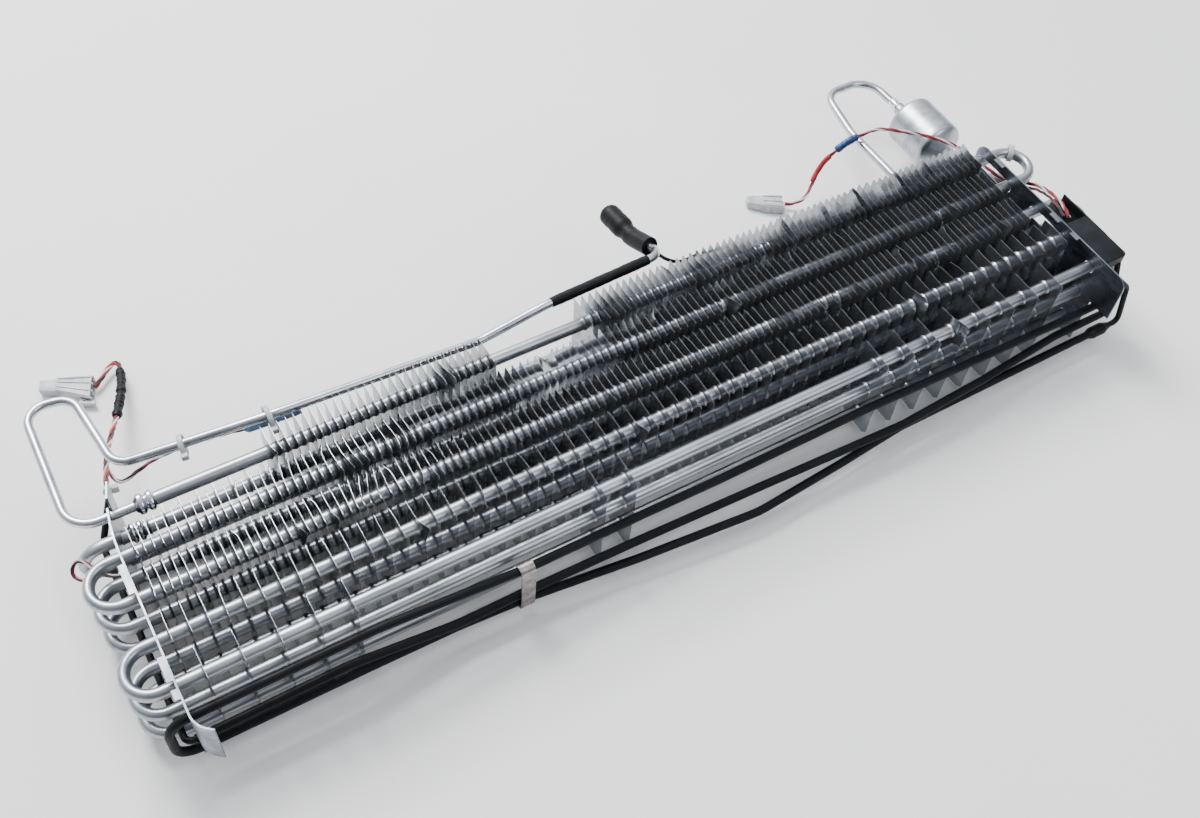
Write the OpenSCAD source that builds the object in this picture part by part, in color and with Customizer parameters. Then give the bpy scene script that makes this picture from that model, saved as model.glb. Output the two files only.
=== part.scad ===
// Refrigerator evaporator coil with defrost heater, lying on its back.
// Three layers of aluminium tube run back and forth through five rows of fins between two end
// plates. X runs along the coil, Y across the rows and Z from the back to the front layer.
// The origin is on the foot of the left end plate, in line with the middle row.

/* [Overall] */
// Distance between the middles of the two end plates
plate_span = 626; // [606:1:690]
// Height of the end plates
plate_height = 74; // [73.5:0.5:90]
// Thickness of the end plates' sheet
plate_t = 1; // [0.6:0.1:1.5]
// Clearance round the tubes in the end plates
plate_clearance = 0.4; // [0.2:0.1:0.8]

/* [Coil tube] */
// Outside diameter of the coil tube
tube_d = 8; // [6:0.5:9.5]
// Distance between neighbouring rows
row_pitch = 28; // [26:0.5:34]
// Distance between neighbouring layers
layer_pitch = 24; // [22:0.5:28]
// Height of the back layer's tube above the foot of the plates
back_tube_z = 13; // [12.5:0.5:16]
// Straight length of tube between the left plate and its bends
left_leg = 8; // [6:0.5:14]
// Straight length of tube between the right plate and its bends
right_leg = 14; // [10:0.5:20]
// Distance from the left plate to the inlet joint's middle
joint_x = 22.7; // [20:0.1:26]
// Distance from the left plate to the lock ring's middle
lock_ring_x = 13; // [12.8:0.1:15]

/* [Fins] */
// Width of a fin across its row
fin_w = 24; // [20:0.5:25]
// Thickness of a fin
fin_t = 0.3; // [0.2:0.05:0.5]
// Length of the collar that grips the tube
collar_l = 1.4; // [0.8:0.1:2]
// Wall of the collar
collar_t = 0.4; // [0.3:0.05:0.6]
// Clearance between a collar and its tube
collar_clearance = 0.1; // [0.05:0.05:0.2]
// Cut corner of a fin
fin_chamfer = 3; // [1:0.5:5]
// Distance between fins in the dense rows
dense_pitch = 5; // [4:0.5:8]
// Distance between fins in the fourth row
medium_pitch = 10; // [8:0.5:14]
// Distance between fins in the row beside the heater
wide_pitch = 20; // [16:1:24]

/* [Pipes] */
// Outside diameter of the inlet pipe
inlet_d = 5.6; // [4.5:0.1:6]
// Outside diameter of the outlet pipe
outlet_d = 6; // [5:0.5:8]
// Diameter of the shrink sleeve on the inlet pipe
shrink_d = 7; // [6.5:0.1:8]
// Diameter of the rubber end sleeve
end_sleeve_d = 13; // [11:0.5:16]
// Diameter of the accumulator
accumulator_d = 38; // [30:1:44]
// Length of the accumulator's straight wall
accumulator_l = 34; // [26:1:40]

/* [Heater] */
// Diameter of the heater's sheath
heater_d = 5.4; // [4.5:0.1:6]
// Diameter of the heater's leads
lead_d = 4; // [3:0.5:5]
// Width of the clip that holds the heater's runs together
clip_w = 9; // [6:1:14]
// Thickness of the clip
clip_t = 0.8; // [0.5:0.1:1.2]

/* [Wiring] */
// Diameter of the defrost sensor
sensor_d = 6; // [5:0.5:7]
// Length of the defrost sensor
sensor_l = 33; // [20:1:40]
// Length of the terminal box
box_l = 62; // [50:1:66]
// Wall of the terminal box
box_wall = 1.2; // [0.8:0.1:1.6]
// Width of a cable tie
tie_w = 3; // [2:0.5:5]

/* [Hidden] */

$fn = 40;
rows = 5;
layers = 3;
bend_r = row_pitch / 2;
crossover_r = layer_pitch / 2;
hole_d = tube_d + 2 * plate_clearance;
collar_bore = tube_d + 2 * collar_clearance;
// Least distance left between two separate pieces
seat_gap = 0.2;
cut = 1;
// Largest turn between two rings of a bent pipe
arc_step = 15;

// Height of a row's tube along Y and of a layer's tube along Z; row 1 carries the inlet and
// layer 1 is the front
function row_y(row) = (3 - row) * row_pitch;
function layer_z(layer) = back_tube_z + (layers - layer) * layer_pitch;

fin_margin = layer_pitch / 2;
fin_top = layer_z(1) + fin_margin;
fins_edge_y = row_y(1) + fin_w / 2;
heater_y = row_y(rows) - fin_w / 2 - heater_d / 2 - 0.8;

// Vector helpers
function unit(v) = v / norm(v);
function turn_angle(a, b, c) = acos(max(-1, min(1, unit(b - a) * unit(c - b))));
function place(corner) = [corner[0], corner[1], corner[2]];
function corner_angle(route, i) =
    turn_angle(place(route[i - 1]), place(route[i]), place(route[i + 1]));
// Length that the bend at corner i takes from each of its straights; a corner is [x, y, z, radius]
function bend_trim(route, i) =
    i == 0 || i == len(route) - 1 ? 0 : route[i][3] * tan(corner_angle(route, i) / 2);
function any_normal(v) = unit(cross(v, abs(v.z) < 0.9 * norm(v) ? [0, 0, 1] : [1, 0, 0]));

// Moves the children so that their Z axis runs from a towards b
module aim(a, b) {
    w = unit(b - a);
    u = any_normal(w);
    v = cross(w, u);
    multmatrix([
        [u.x, v.x, w.x, a.x],
        [u.y, v.y, w.y, a.y],
        [u.z, v.z, w.z, a.z],
        [0, 0, 0, 1]
    ])
        children();
}

// Points along a route whose inner corners are rounded; a corner is [x, y, z, bend radius]
function arc_points(route, i) = corner_angle(route, i) < 0.05 ? [place(route[i])] :
    let(
        a = place(route[i - 1]),
        b = place(route[i]),
        u = unit(b - a),
        v = unit(place(route[i + 1]) - b),
        angle = corner_angle(route, i),
        inward = unit(v - u * (u * v)),
        start = b - u * bend_trim(route, i),
        steps = max(1, ceil(angle / arc_step)),
        r = route[i][3]
    )
    [for (s = [0 : steps])
        start + r * (sin(angle * s / steps) * u + (1 - cos(angle * s / steps)) * inward)];
function distinct(points) = [
    for (i = [0 : len(points) - 1])
        if (i == 0 || norm(points[i] - points[max(i - 1, 0)]) > 0.05) points[i]
];
function rounded(route) = distinct([
    place(route[0]),
    for (i = [1 : len(route) - 2]) each arc_points(route, i),
    place(route[len(route) - 1])
]);

// Directions along a route, and a normal that is carried along it without twisting
function directions(route) =
    let(last = len(route) - 1)
    [for (i = [0 : last]) unit(route[min(i + 1, last)] - route[max(i - 1, 0)])];
function next_normal(n, t) = unit(n - (n * t) * t);
function carried_normals(t) = [
    for (i = 0, n = any_normal(t[0]); i < len(t); i = i + 1, n = next_normal(n, t[min(i, len(t) - 1)])) n
];

// Closed tube through the points of a route; d is its diameter, or a list with one for each point
module swept(route, d, sides = 12) {
    last = len(route) - 1;
    r = [for (i = [0 : last]) (is_list(d) ? d[i] : d) / 2];
    t = directions(route);
    n = carried_normals(t);
    points = [for (i = [0 : last], s = [0 : sides - 1])
        route[i] + r[i] * (cos(360 * s / sides) * n[i] + sin(360 * s / sides) * cross(t[i], n[i]))];
    walls = [for (i = [0 : last - 1], s = [0 : sides - 1])
        let(e = (s + 1) % sides)
        [i * sides + s, (i + 1) * sides + s, (i + 1) * sides + e, i * sides + e]];
    start_cap = [for (s = [0 : sides - 1]) s];
    end_cap = [for (s = [sides - 1 : -1 : 0]) last * sides + s];
    polyhedron(points = points, faces = concat(walls, [start_cap], [end_cap]));
}

// Rod along a route of corners [x, y, z, bend radius]
module bent_rod(route, d) {
    swept(rounded(route), d);
}

// Wire straight through the points of a route
module wire(route, d) {
    swept(route, d, 8);
}

// End plates

// Left plate: flat in the middle, swept inwards at the inlet end, with a curled lip at the other
left_sweep_y = row_y(2) - 4;
left_sweep_r = 130;
left_sweep_angle = 20.5;
left_lip_y = row_y(rows) - 24;
left_lip_r = 14;
left_lip_angle = 50;
left_lip_l = 4;
// The plates are cut back behind the heater, which leaves a wing at the front
wing_z = layer_z(2) + 2;
wing_y = row_y(rows) - fin_w / 2 - 0.5;
tab_l = 3.5;
// Size of the tools that cut through the plates
through = 40;
wing_cut = 60;

// Hole for one tube, or the long hole that lets a bend of two rows through
module tube_hole(row, layer, rows_wide = 1) {
    translate([0, row_y(row), layer_z(layer)])
        rotate([0, 90, 0])
            cylinder(h = through, d = hole_d, center = true);
    if (rows_wide == 2) {
        translate([0, row_y(row + 1), layer_z(layer)])
            rotate([0, 90, 0])
                cylinder(h = through, d = hole_d, center = true);
        translate([0, (row_y(row) + row_y(row + 1)) / 2, layer_z(layer)])
            cube([through, row_pitch, hole_d], center = true);
    }
}

// Bent tab on the front edge, from y_from over a length, standing out by tab_l
module edge_tab(y_from, length, outward) {
    translate([outward < 0 ? -tab_l : 0, y_from, plate_height - plate_t])
        cube([tab_l, length, plate_t]);
}

// One face of the bent sheet as a line seen from above, side away from the middle of the sheet
function left_sheet_face(side) = let(
        lip_end = 180 + left_lip_angle,
        lip_middle = [left_lip_r, left_lip_y],
        sweep_middle = [left_sweep_r, left_sweep_y]
    )
    concat(
        [lip_middle + (left_lip_r + side) * [cos(lip_end), sin(lip_end)]
            + left_lip_l * [-sin(lip_end), cos(lip_end)]],
        [for (a = [lip_end : -left_lip_angle / 6 : 180])
            lip_middle + (left_lip_r + side) * [cos(a), sin(a)]],
        [for (a = [180 : -left_sweep_angle / 5 : 180 - left_sweep_angle])
            sweep_middle + (left_sweep_r + side) * [cos(a), sin(a)]]
    );

module left_plate_sheet() {
    outer = left_sheet_face(plate_t / 2);
    inner = left_sheet_face(-plate_t / 2);
    linear_extrude(plate_height)
        polygon(concat(outer, [for (i = [len(inner) - 1 : -1 : 0]) inner[i]]));
}

module left_end_plate() {
    color("#9ba1ab")
    difference() {
        union() {
            left_plate_sheet();
            edge_tab(row_y(3) - 3, 19, -1);
            edge_tab(row_y(5) - 3, 15, -1);
            edge_tab(row_y(5) - 14, 6, -1);
        }
        for (layer = [1 : layers]) {
            tube_hole(2, layer, 2);
            tube_hole(4, layer, 2);
        }
        for (layer = [2 : layers])
            tube_hole(1, layer);
        // Open notch that the inlet pipe drops into
        translate([0, row_y(1), layer_z(1)]) {
            rotate([0, 90, 0])
                cylinder(h = through, d = inlet_d + 2 * plate_clearance, center = true);
            translate([-through / 2, -inlet_d / 2 - plate_clearance, 0])
                cube([through, inlet_d + 2 * plate_clearance, plate_height]);
        }
        // Hole for the heater's front run
        translate([0, heater_y, heater_left_z])
            rotate([0, 90, 0])
                cylinder(h = through, d = heater_d + 4 * plate_clearance, center = true);
        translate([-through / 2, wing_y - wing_cut, -cut])
            cube([through, wing_cut, wing_z + cut]);
    }
}

// Right plate: flat, with rounded front corners
right_plate_top_y = row_y(1) + 6;
right_plate_low_y = row_y(rows) - 30;
right_front_r = 8;

module right_plate_outline() {
    difference() {
        union() {
            translate([right_plate_low_y, right_front_r])
                square([right_plate_top_y - right_plate_low_y, plate_height - 2 * right_front_r]);
            translate([right_plate_low_y + right_front_r, 0])
                square([right_plate_top_y - right_plate_low_y - 2 * right_front_r, plate_height]);
            for (y = [right_plate_low_y + right_front_r, right_plate_top_y - right_front_r])
                translate([y, plate_height - right_front_r])
                    circle(r = right_front_r);
            translate([right_plate_top_y - right_front_r, 0])
                square(right_front_r);
        }
        translate([wing_y - wing_cut, -cut])
            square([wing_cut, wing_z + cut]);
    }
}

module right_end_plate() {
    color("#9ba1ab")
    difference() {
        union() {
            translate([plate_span - plate_t / 2, 0, 0])
                rotate([90, 0, 90])
                    linear_extrude(plate_t)
                        right_plate_outline();
            translate([plate_span, 0, 0]) {
                edge_tab(row_y(2) + 7, 9, -1);
                edge_tab(row_y(4) + 5, 9, -1);
                edge_tab(row_y(5) + 15, 7, -1);
            }
        }
        translate([plate_span, 0, 0]) {
            for (layer = [1 : layers]) {
                tube_hole(1, layer, 2);
                tube_hole(3, layer, 2);
                tube_hole(5, layer);
            }
        }
    }
}

// Coil tube

left_bend_x = -left_leg;
right_bend_x = plate_span + right_leg;

module run(row, layer, x_from, x_to) {
    translate([x_from, row_y(row), layer_z(layer)])
        rotate([0, 90, 0])
            cylinder(h = x_to - x_from, d = tube_d);
}

// Half turn that joins a row to the next one in the same layer
module row_bend(row, layer, side) {
    translate([side < 0 ? left_bend_x : right_bend_x, (row_y(row) + row_y(row + 1)) / 2, layer_z(layer)])
        rotate([0, 0, side < 0 ? 90 : -90])
            rotate_extrude(angle = 180, $fn = 72)
                translate([bend_r, 0])
                    circle(d = tube_d, $fn = 40);
}

// Half turn that joins a layer to the one behind it in the same row
module layer_bend(row, layer, side) {
    translate([side < 0 ? left_bend_x : right_bend_x, row_y(row), (layer_z(layer) + layer_z(layer + 1)) / 2])
        rotate([90, 0, 0])
            rotate([0, 0, side < 0 ? 90 : -90])
                rotate_extrude(angle = 180, $fn = 72)
                    translate([crossover_r, 0])
                        circle(d = tube_d, $fn = 40);
}

// Rows 2 to 4 and the bends between all the rows of one layer
module layer_serpentine(layer) {
    for (row = [2 : rows - 1])
        run(row, layer, left_bend_x, right_bend_x);
    for (row = [1 : rows - 1])
        row_bend(row, layer, row % 2 == 1 ? 1 : -1);
}

module front_layer_tube() {
    color("#c4c9d1") {
        run(1, 1, joint_x, right_bend_x);
        layer_serpentine(1);
        run(rows, 1, left_bend_x, right_bend_x);
        layer_bend(rows, 1, 1);
    }
}

module middle_layer_tube() {
    color("#b8bdc6") {
        run(1, 2, lock_ring_x, right_bend_x);
        layer_serpentine(2);
        run(rows, 2, left_bend_x, right_bend_x);
    }
}

module back_layer_tube() {
    color("#b8bdc6") {
        run(1, 2, left_bend_x, lock_ring_x);
        layer_bend(1, 2, -1);
        run(1, 3, left_bend_x, right_bend_x);
        layer_serpentine(3);
        run(rows, 3, left_bend_x, plate_span + riser_leg);
    }
}

// The riser leaves the back layer, climbs half a layer in one bend of 45 degrees and so passes
// between the bends of the back and middle layers on its way to the accumulator
riser_leg = 6;
riser_x = plate_span + riser_leg + crossover_r;
riser_z = layer_z(3) + crossover_r;
riser_rise = crossover_r * sin(45);
accumulator_x = plate_span + 4;
accumulator_z = layer_z(2) - 1;
accumulator_foot_y = fins_edge_y + 18;

module riser_tube() {
    swing = [accumulator_x - riser_x, 0, accumulator_z - riser_z];
    swing_start = fins_edge_y - 5;
    color("#b8bdc6") {
        bent_rod([
            [plate_span + riser_leg, row_y(rows), layer_z(3), 0],
            [riser_x, row_y(rows), layer_z(3), crossover_r],
            [riser_x, row_y(rows) + crossover_r, layer_z(3) + crossover_r, crossover_r],
            [riser_x, swing_start, riser_z, 10],
            [accumulator_x, swing_start + 14, accumulator_z, 10],
            [accumulator_x, accumulator_foot_y, accumulator_z, 0]
        ], tube_d);
    }
}

// Joint of the inlet pipe and the coil tube: two swaged bulges
joint_l = 12;
joint_d = 13;

module inlet_joint() {
    color("#d2d6dc")
    translate([joint_x - joint_l / 2, row_y(1), layer_z(1)])
        rotate([0, 90, 0])
            difference() {
                rotate_extrude()
                    polygon([
                        [0, 0], [inlet_d / 2 + 1, 0], [joint_d / 2 - 1, 2], [joint_d / 2, 4],
                        [joint_d / 2 - 1.4, joint_l / 2], [joint_d / 2 - 0.4, joint_l - 4],
                        [tube_d / 2 + 1, joint_l], [0, joint_l]
                    ]);
                translate([0, 0, -cut])
                    cylinder(h = joint_l / 2 + cut, d = inlet_d);
                translate([0, 0, joint_l / 2])
                    cylinder(h = joint_l / 2 + cut, d = tube_d);
            }
}

// Lock ring over the tube ends in the middle layer
lock_ring_l = 9;
lock_ring_d = 12.5;

module lock_ring() {
    color("#d2d6dc")
    translate([lock_ring_x - lock_ring_l / 2, row_y(1), layer_z(2)])
        rotate([0, 90, 0])
            difference() {
                rotate_extrude()
                    polygon([
                        [0, 0], [lock_ring_d / 2 - 1.2, 0], [lock_ring_d / 2, 1.5],
                        [lock_ring_d / 2, lock_ring_l / 2 - 0.8], [lock_ring_d / 2 - 0.8, lock_ring_l / 2],
                        [lock_ring_d / 2, lock_ring_l / 2 + 0.8], [lock_ring_d / 2, lock_ring_l - 1.5],
                        [lock_ring_d / 2 - 1.2, lock_ring_l], [0, lock_ring_l]
                    ]);
                translate([0, 0, -cut])
                    cylinder(h = lock_ring_l + 2 * cut, d = tube_d);
            }
}

// Fins

module fin_outline(bottom, top) {
    half = fin_w / 2;
    c = fin_chamfer;
    polygon([
        [-half + c, bottom], [half - c, bottom], [half, bottom + c], [half, top - c],
        [half - c, top], [-half + c, top], [-half, top - c], [-half, bottom + c]
    ]);
}

// One fin with its collars, on the tubes of the layers given
module fin(x, row, layer_from, layer_to) {
    bottom = layer_z(layer_to) - fin_margin;
    top = layer_z(layer_from) + fin_margin;
    translate([x, row_y(row), 0])
        rotate([90, 0, 90])
            difference() {
                union() {
                    linear_extrude(fin_t)
                        fin_outline(bottom, top);
                    for (layer = [layer_from : layer_to])
                        translate([0, layer_z(layer), -collar_l])
                            cylinder(h = collar_l + fin_t / 2, d = collar_bore + 2 * collar_t);
                }
                for (layer = [layer_from : layer_to])
                    translate([0, layer_z(layer), -collar_l - cut])
                        cylinder(h = collar_l + fin_t + 2 * cut, d = collar_bore);
            }
}

module fin_block(row, x_from, x_to, pitch, layer_from = 1) {
    color("#8d94a0")
    for (x = [x_from : pitch : x_to])
        fin(x, row, layer_from, layers);
}

inlet_block_from = 95;
inlet_block_to = 235;
main_block_from = 302;

module row_1_inlet_fins() {
    fin_block(1, inlet_block_from, inlet_block_to, dense_pitch);
}

module row_1_lower_fins() {
    fin_block(1, 20, inlet_block_from - medium_pitch / 2, medium_pitch, 2);
}

module row_1_main_fins() {
    fin_block(1, main_block_from, plate_span - 14, dense_pitch);
}

module row_2_fins() {
    fin_block(2, 8, plate_span - 18, dense_pitch);
}

module row_3_fins() {
    fin_block(3, 8, plate_span - 18, dense_pitch);
}

module row_4_fins() {
    fin_block(4, 7, plate_span - 9, medium_pitch);
}

// First fins of the three blocks in row 5
row_5_left_from = 15;
row_5_middle_from = 246;
row_5_right_from = 446;

module row_5_left_fins() {
    fin_block(5, row_5_left_from, row_5_left_from + 4 * wide_pitch, wide_pitch);
}

module row_5_middle_fins() {
    fin_block(5, row_5_middle_from, row_5_middle_from + wide_pitch, wide_pitch);
}

module row_5_right_fins() {
    fin_block(5, row_5_right_from, plate_span - 40, wide_pitch);
}

// Inlet pipe and its sleeves

pipe_edge_y = fins_edge_y + inlet_d / 2 + seat_gap;
shrink_edge_y = fins_edge_y + shrink_d / 2 + 1;
shrink_from = [284, shrink_edge_y, layer_z(1) + 10];
shrink_to = [366, shrink_edge_y + 3, layer_z(1) + 11];
sleeve_mouth = [371, shrink_edge_y + 17, layer_z(1) + 4];
end_sleeve_bend = [369, shrink_edge_y + 35, layer_z(1) - 3];
end_sleeve_tip = [367, shrink_edge_y + 64, layer_z(1) - 5];
sleeve_approach = sleeve_mouth - 7 * unit(end_sleeve_bend - sleeve_mouth);

inlet_route = [
    [joint_x, row_y(1), layer_z(1), 0],
    [-19, row_y(1), layer_z(1), 16],
    [-18, row_y(1) + 92, layer_z(1), 12],
    [9.5, row_y(1) + 88, layer_z(1), 12],
    [16, row_y(1) + 31, layer_z(1), 13],
    [inlet_block_from + 10, pipe_edge_y, fin_top, 40],
    [inlet_block_to + 3, pipe_edge_y, layer_z(1) + 3, 40],
    [shrink_from.x, shrink_from.y, shrink_from.z, 40],
    [shrink_to.x, shrink_to.y, shrink_to.z, 8],
    [sleeve_approach.x, sleeve_approach.y, sleeve_approach.z, 8],
    [sleeve_mouth.x, sleeve_mouth.y, sleeve_mouth.z, 0]
];

module inlet_pipe() {
    color("#c4c9d1")
        bent_rod(inlet_route, inlet_d);
}

module inlet_shrink_sleeve() {
    start = shrink_from + 4 * unit(shrink_to - shrink_from);
    end = shrink_to - 6 * unit(shrink_to - shrink_from);
    color("#1c1f28")
    aim(start, end)
        difference() {
            cylinder(h = norm(end - start), d = shrink_d);
            translate([0, 0, -cut])
                cylinder(h = norm(end - start) + 2 * cut, d = inlet_d);
        }
}

// Rubber sleeve on the end of the inlet pipe, with a wider band at its closed tip
module end_sleeve() {
    band = [for (share = [0.35, 0.45, 0.9, 1]) end_sleeve_bend + share * (end_sleeve_tip - end_sleeve_bend)];
    neck = rounded([
        [sleeve_mouth.x, sleeve_mouth.y, sleeve_mouth.z, 0],
        [end_sleeve_bend.x, end_sleeve_bend.y, end_sleeve_bend.z, 20],
        [band[0].x, band[0].y, band[0].z, 0]
    ]);
    color("#1c1f28")
    swept(
        concat(neck, [band[1], band[2], band[3]]),
        concat([for (p = neck) end_sleeve_d], [end_sleeve_d + 2, end_sleeve_d + 2, end_sleeve_d - 2]),
        16
    );
}

// Accumulator and outlet pipe

module accumulator() {
    r = accumulator_d / 2;
    shoulder = 8;
    neck = 5;
    total = neck + shoulder + accumulator_l + shoulder + neck;
    color("#c9cdd4")
    translate([accumulator_x, accumulator_foot_y, accumulator_z])
        rotate([-90, 0, 0])
            rotate_extrude($fn = 64)
                polygon([
                    [0, 0], [tube_d / 2 + 1, 0], [tube_d / 2 + 1, neck],
                    [r - 3, neck + shoulder - 3], [r - 0.8, neck + shoulder - 1], [r, neck + shoulder + 1],
                    [r, total - neck - shoulder - 1], [r - 0.8, total - neck - shoulder + 1],
                    [r - 3, total - neck - shoulder + 3], [outlet_d / 2 + 1.5, total - neck],
                    [outlet_d / 2 + 1.5, total], [0, total]
                ]);
}

accumulator_tip_y = accumulator_foot_y + accumulator_l + 26;
outlet_joint_l = 9;

module outlet_joint() {
    color("#d2d6dc")
    translate([accumulator_x, accumulator_tip_y, accumulator_z])
        rotate([-90, 0, 0])
            difference() {
                rotate_extrude()
                    polygon([
                        [0, 0], [outlet_d / 2 + 1.5, 0], [outlet_d / 2 + 1.5, 2],
                        [outlet_d / 2 + 0.7, outlet_joint_l], [0, outlet_joint_l]
                    ]);
                translate([0, 0, -cut])
                    cylinder(h = outlet_joint_l + 2 * cut, d = outlet_d);
            }
}

outlet_end_y = fins_edge_y + 5;

module outlet_pipe() {
    y = accumulator_tip_y;
    z = accumulator_z;
    x = accumulator_x;
    color("#c4c9d1")
    bent_rod([
        [x, y, z, 0],
        [x - 2, y + 38, z, 18],
        [x - 42, y + 37, z + 1, 14],
        [x - 50, y - 6, z + 1, 40],
        [x - 49, outlet_end_y, z + 1, 0]
    ], outlet_d);
}

// Defrost heater: three runs in front of the last row, joined by two end bends

heater_left_z = layer_z(1) - 7;
heater_right_x = plate_span + 24;
heater_back_z = layer_z(3) - 2;
heater_second_z = layer_z(3) + 6;
clip_x = 192;
clip_y = heater_y - 1.5;
clip_front_z = layer_z(1) - 15;
soft = 60;

// Places where the end bends meet the runs
heater_left_join = 20;
heater_right_join = plate_span + 10;

// Point on the way from corner a to corner b at a given x, as the plain end of a route
function at_x(a, b, x) = concat(place(a) + (place(b) - place(a)) * (x - a.x) / (b.x - a.x), [0]);

left_bend_front = [-13, heater_y, heater_left_z, 12];
left_bend_back = [-13, heater_y, layer_z(3) + 3, 12];
front_run_end = [105, heater_y, heater_left_z, soft];
back_run_start = [95, heater_y, layer_z(3) + 2, soft];
right_bend_back = [heater_right_x, heater_y, heater_second_z, 8];
right_bend_front = [heater_right_x, heater_y, heater_second_z + 16, 8];

module heater_second_run() {
    color("#23262e")
    bent_rod([
        [-2, heater_y, layer_z(3) + 14, 0],
        [85, heater_y, layer_z(3) + 15, soft],
        [150, clip_y, heater_second_z, soft],
        [clip_x, clip_y, heater_second_z, soft],
        [265, heater_y - 3, heater_second_z, soft],
        [356, heater_y - 6, heater_second_z, soft],
        [462, heater_y - 10, heater_second_z, soft],
        [533, heater_y - 6, heater_second_z, soft],
        [plate_span - 26, heater_y, heater_second_z, soft],
        [heater_right_join, heater_y, heater_second_z, 0]
    ], heater_d);
}

module heater_right_bend() {
    color("#23262e")
    bent_rod([
        [heater_right_join, heater_y, heater_second_z, 0],
        right_bend_back,
        right_bend_front,
        [heater_right_join, heater_y, heater_second_z + 16, 0]
    ], heater_d);
}

module heater_front_run() {
    color("#23262e")
    bent_rod([
        [heater_right_join, heater_y, heater_second_z + 16, 0],
        [plate_span - 28, heater_y, heater_second_z + 16, soft],
        [494, heater_y, layer_z(1) - 22, soft],
        [436, heater_y, layer_z(1) - 19.5, soft],
        [324, heater_y, layer_z(1) - 20.5, soft],
        [268, heater_y, layer_z(1) - 19, soft],
        [clip_x, clip_y, clip_front_z, soft],
        front_run_end,
        at_x(front_run_end, left_bend_front, heater_left_join)
    ], heater_d);
}

module heater_left_bend() {
    color("#23262e")
    bent_rod([
        at_x(front_run_end, left_bend_front, heater_left_join),
        left_bend_front,
        left_bend_back,
        at_x(left_bend_back, back_run_start, heater_left_join)
    ], heater_d);
}

module heater_back_run() {
    color("#23262e")
    bent_rod([
        at_x(left_bend_back, back_run_start, heater_left_join),
        back_run_start,
        [150, heater_y + 1, heater_back_z, soft],
        [clip_x, clip_y, heater_back_z, soft],
        [265, heater_y - 10, heater_back_z, soft],
        [347, heater_y - 17, heater_back_z, soft],
        [412, heater_y - 12, heater_back_z, soft],
        [464, heater_y - 7, heater_back_z, soft],
        [plate_span + 2, heater_y - 6, heater_back_z, 0]
    ], heater_d);
}

seal_l = 20;
seal_d = 8.5;

module heater_end_seal() {
    color("#1a1c22")
    translate([plate_span + 2, heater_y - 6, heater_back_z])
        rotate([0, 90, 0])
            rotate_extrude()
                polygon([
                    [0, 0], [heater_d / 2, 0], [seal_d / 2, 4], [seal_d / 2, seal_l - 5],
                    [lead_d / 2 + 0.4, seal_l], [0, seal_l]
                ]);
}

module heater_left_lead() {
    color("#1c1f28")
    bent_rod([
        [-2, heater_y, layer_z(3) + 14, 0],
        [-7, heater_y, layer_z(3) + 14, 4.5],
        [-7, row_y(4), riser_z, 20],
        [-7, row_y(1) + 8, riser_z, 10],
        [6, row_y(1) + 17, layer_z(1) - 8, 0]
    ], lead_d);
}

module heater_right_lead() {
    start_x = plate_span + 2 + seal_l;
    color("#1c1f28")
    bent_rod([
        [start_x, heater_y - 6, heater_back_z, 0],
        [start_x + 9, heater_y - 6, heater_back_z, 5],
        [start_x + 9, heater_y, layer_z(2) + 3, 6],
        [plate_span + 16, box_y - 2.5, layer_z(1) - 6, 5],
        [plate_span + 16, box_y + 1, box_z, 0]
    ], lead_d);
}

// Metal strap that hooks over the front run and under the back run
module heater_clip() {
    reach = clip_front_z - heater_back_z;
    hook_r = heater_d / 2 + seat_gap;
    color("#8a8584")
    translate([clip_x - clip_w / 2, clip_y, heater_back_z])
        rotate([90, 0, 90])
            linear_extrude(clip_w) {
                translate([-hook_r - clip_t, 0])
                    square([clip_t, reach]);
                for (side = [0, 1])
                    translate([0, side * reach])
                        difference() {
                            circle(r = hook_r + clip_t);
                            circle(r = hook_r);
                            translate([-through / 2, side * -through])
                                square([through, through]);
                        }
            }
}

// Wiring

sensor_start = [88, pipe_edge_y + 3.4, layer_z(1) + 4];
sensor_end = sensor_start + sensor_l * unit([33, -2.8, 1.4]);

// Thermal sensor with moulded ribs
module defrost_sensor() {
    ribs = 5;
    color("#6f8fb5")
    aim(sensor_start, sensor_end)
        rotate_extrude()
            polygon(concat(
                [[0, 0], [sensor_d / 2 - 1, 0]],
                [for (i = [0 : ribs - 1], step = [0 : 3])
                    let(z = (i + [0.25, 0.4, 0.8, 0.95][step]) * sensor_l / ribs)
                    [sensor_d / 2 - (step == 0 || step == 3 ? 0.6 : 0), z]],
                [[sensor_d / 2 - 1, sensor_l], [0, sensor_l]]
            ));
}

// Band of a cable tie with its head, round a bar whose axis runs from a to b
module tie(a, b, inner_d) {
    aim(a, b) {
        rotate_extrude()
            translate([inner_d / 2, 0])
                square([1, tie_w]);
        translate([inner_d / 2 + 0.5, -2, -0.5])
            cube([3.5, 4, tie_w + 1]);
    }
}

// Ties: inlet pipe with the sensor's wires, inlet pipe with the sensor, right bend, harness
module cable_ties() {
    pipe_run = [89, -16, 12];
    pipe_tie = [52, row_y(1) + 25.3, layer_z(1) + 2.2];
    sensor_tie = [inlet_block_from + 6, pipe_edge_y + 1, fin_top - 3.6];
    bend_tie = [
        right_bend_x + bend_r * cos(45),
        (row_y(1) + row_y(2)) / 2 + bend_r * sin(45),
        layer_z(1)
    ];
    harness_tie = harness_route[0] + [0.2, 2, -0.8];
    color("#d8dadc") {
        tie(pipe_tie, pipe_tie + pipe_run, 11.6);
        tie(sensor_tie, sensor_tie + [1, 0, 0], 14);
        translate(tie_w / 2 * [1, -1, 0] / sqrt(2))
            tie(bend_tie, bend_tie + [-1, 1, 0], tube_d + 0.8);
        tie(harness_tie, harness_route[1], 3.9);
    }
}

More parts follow.
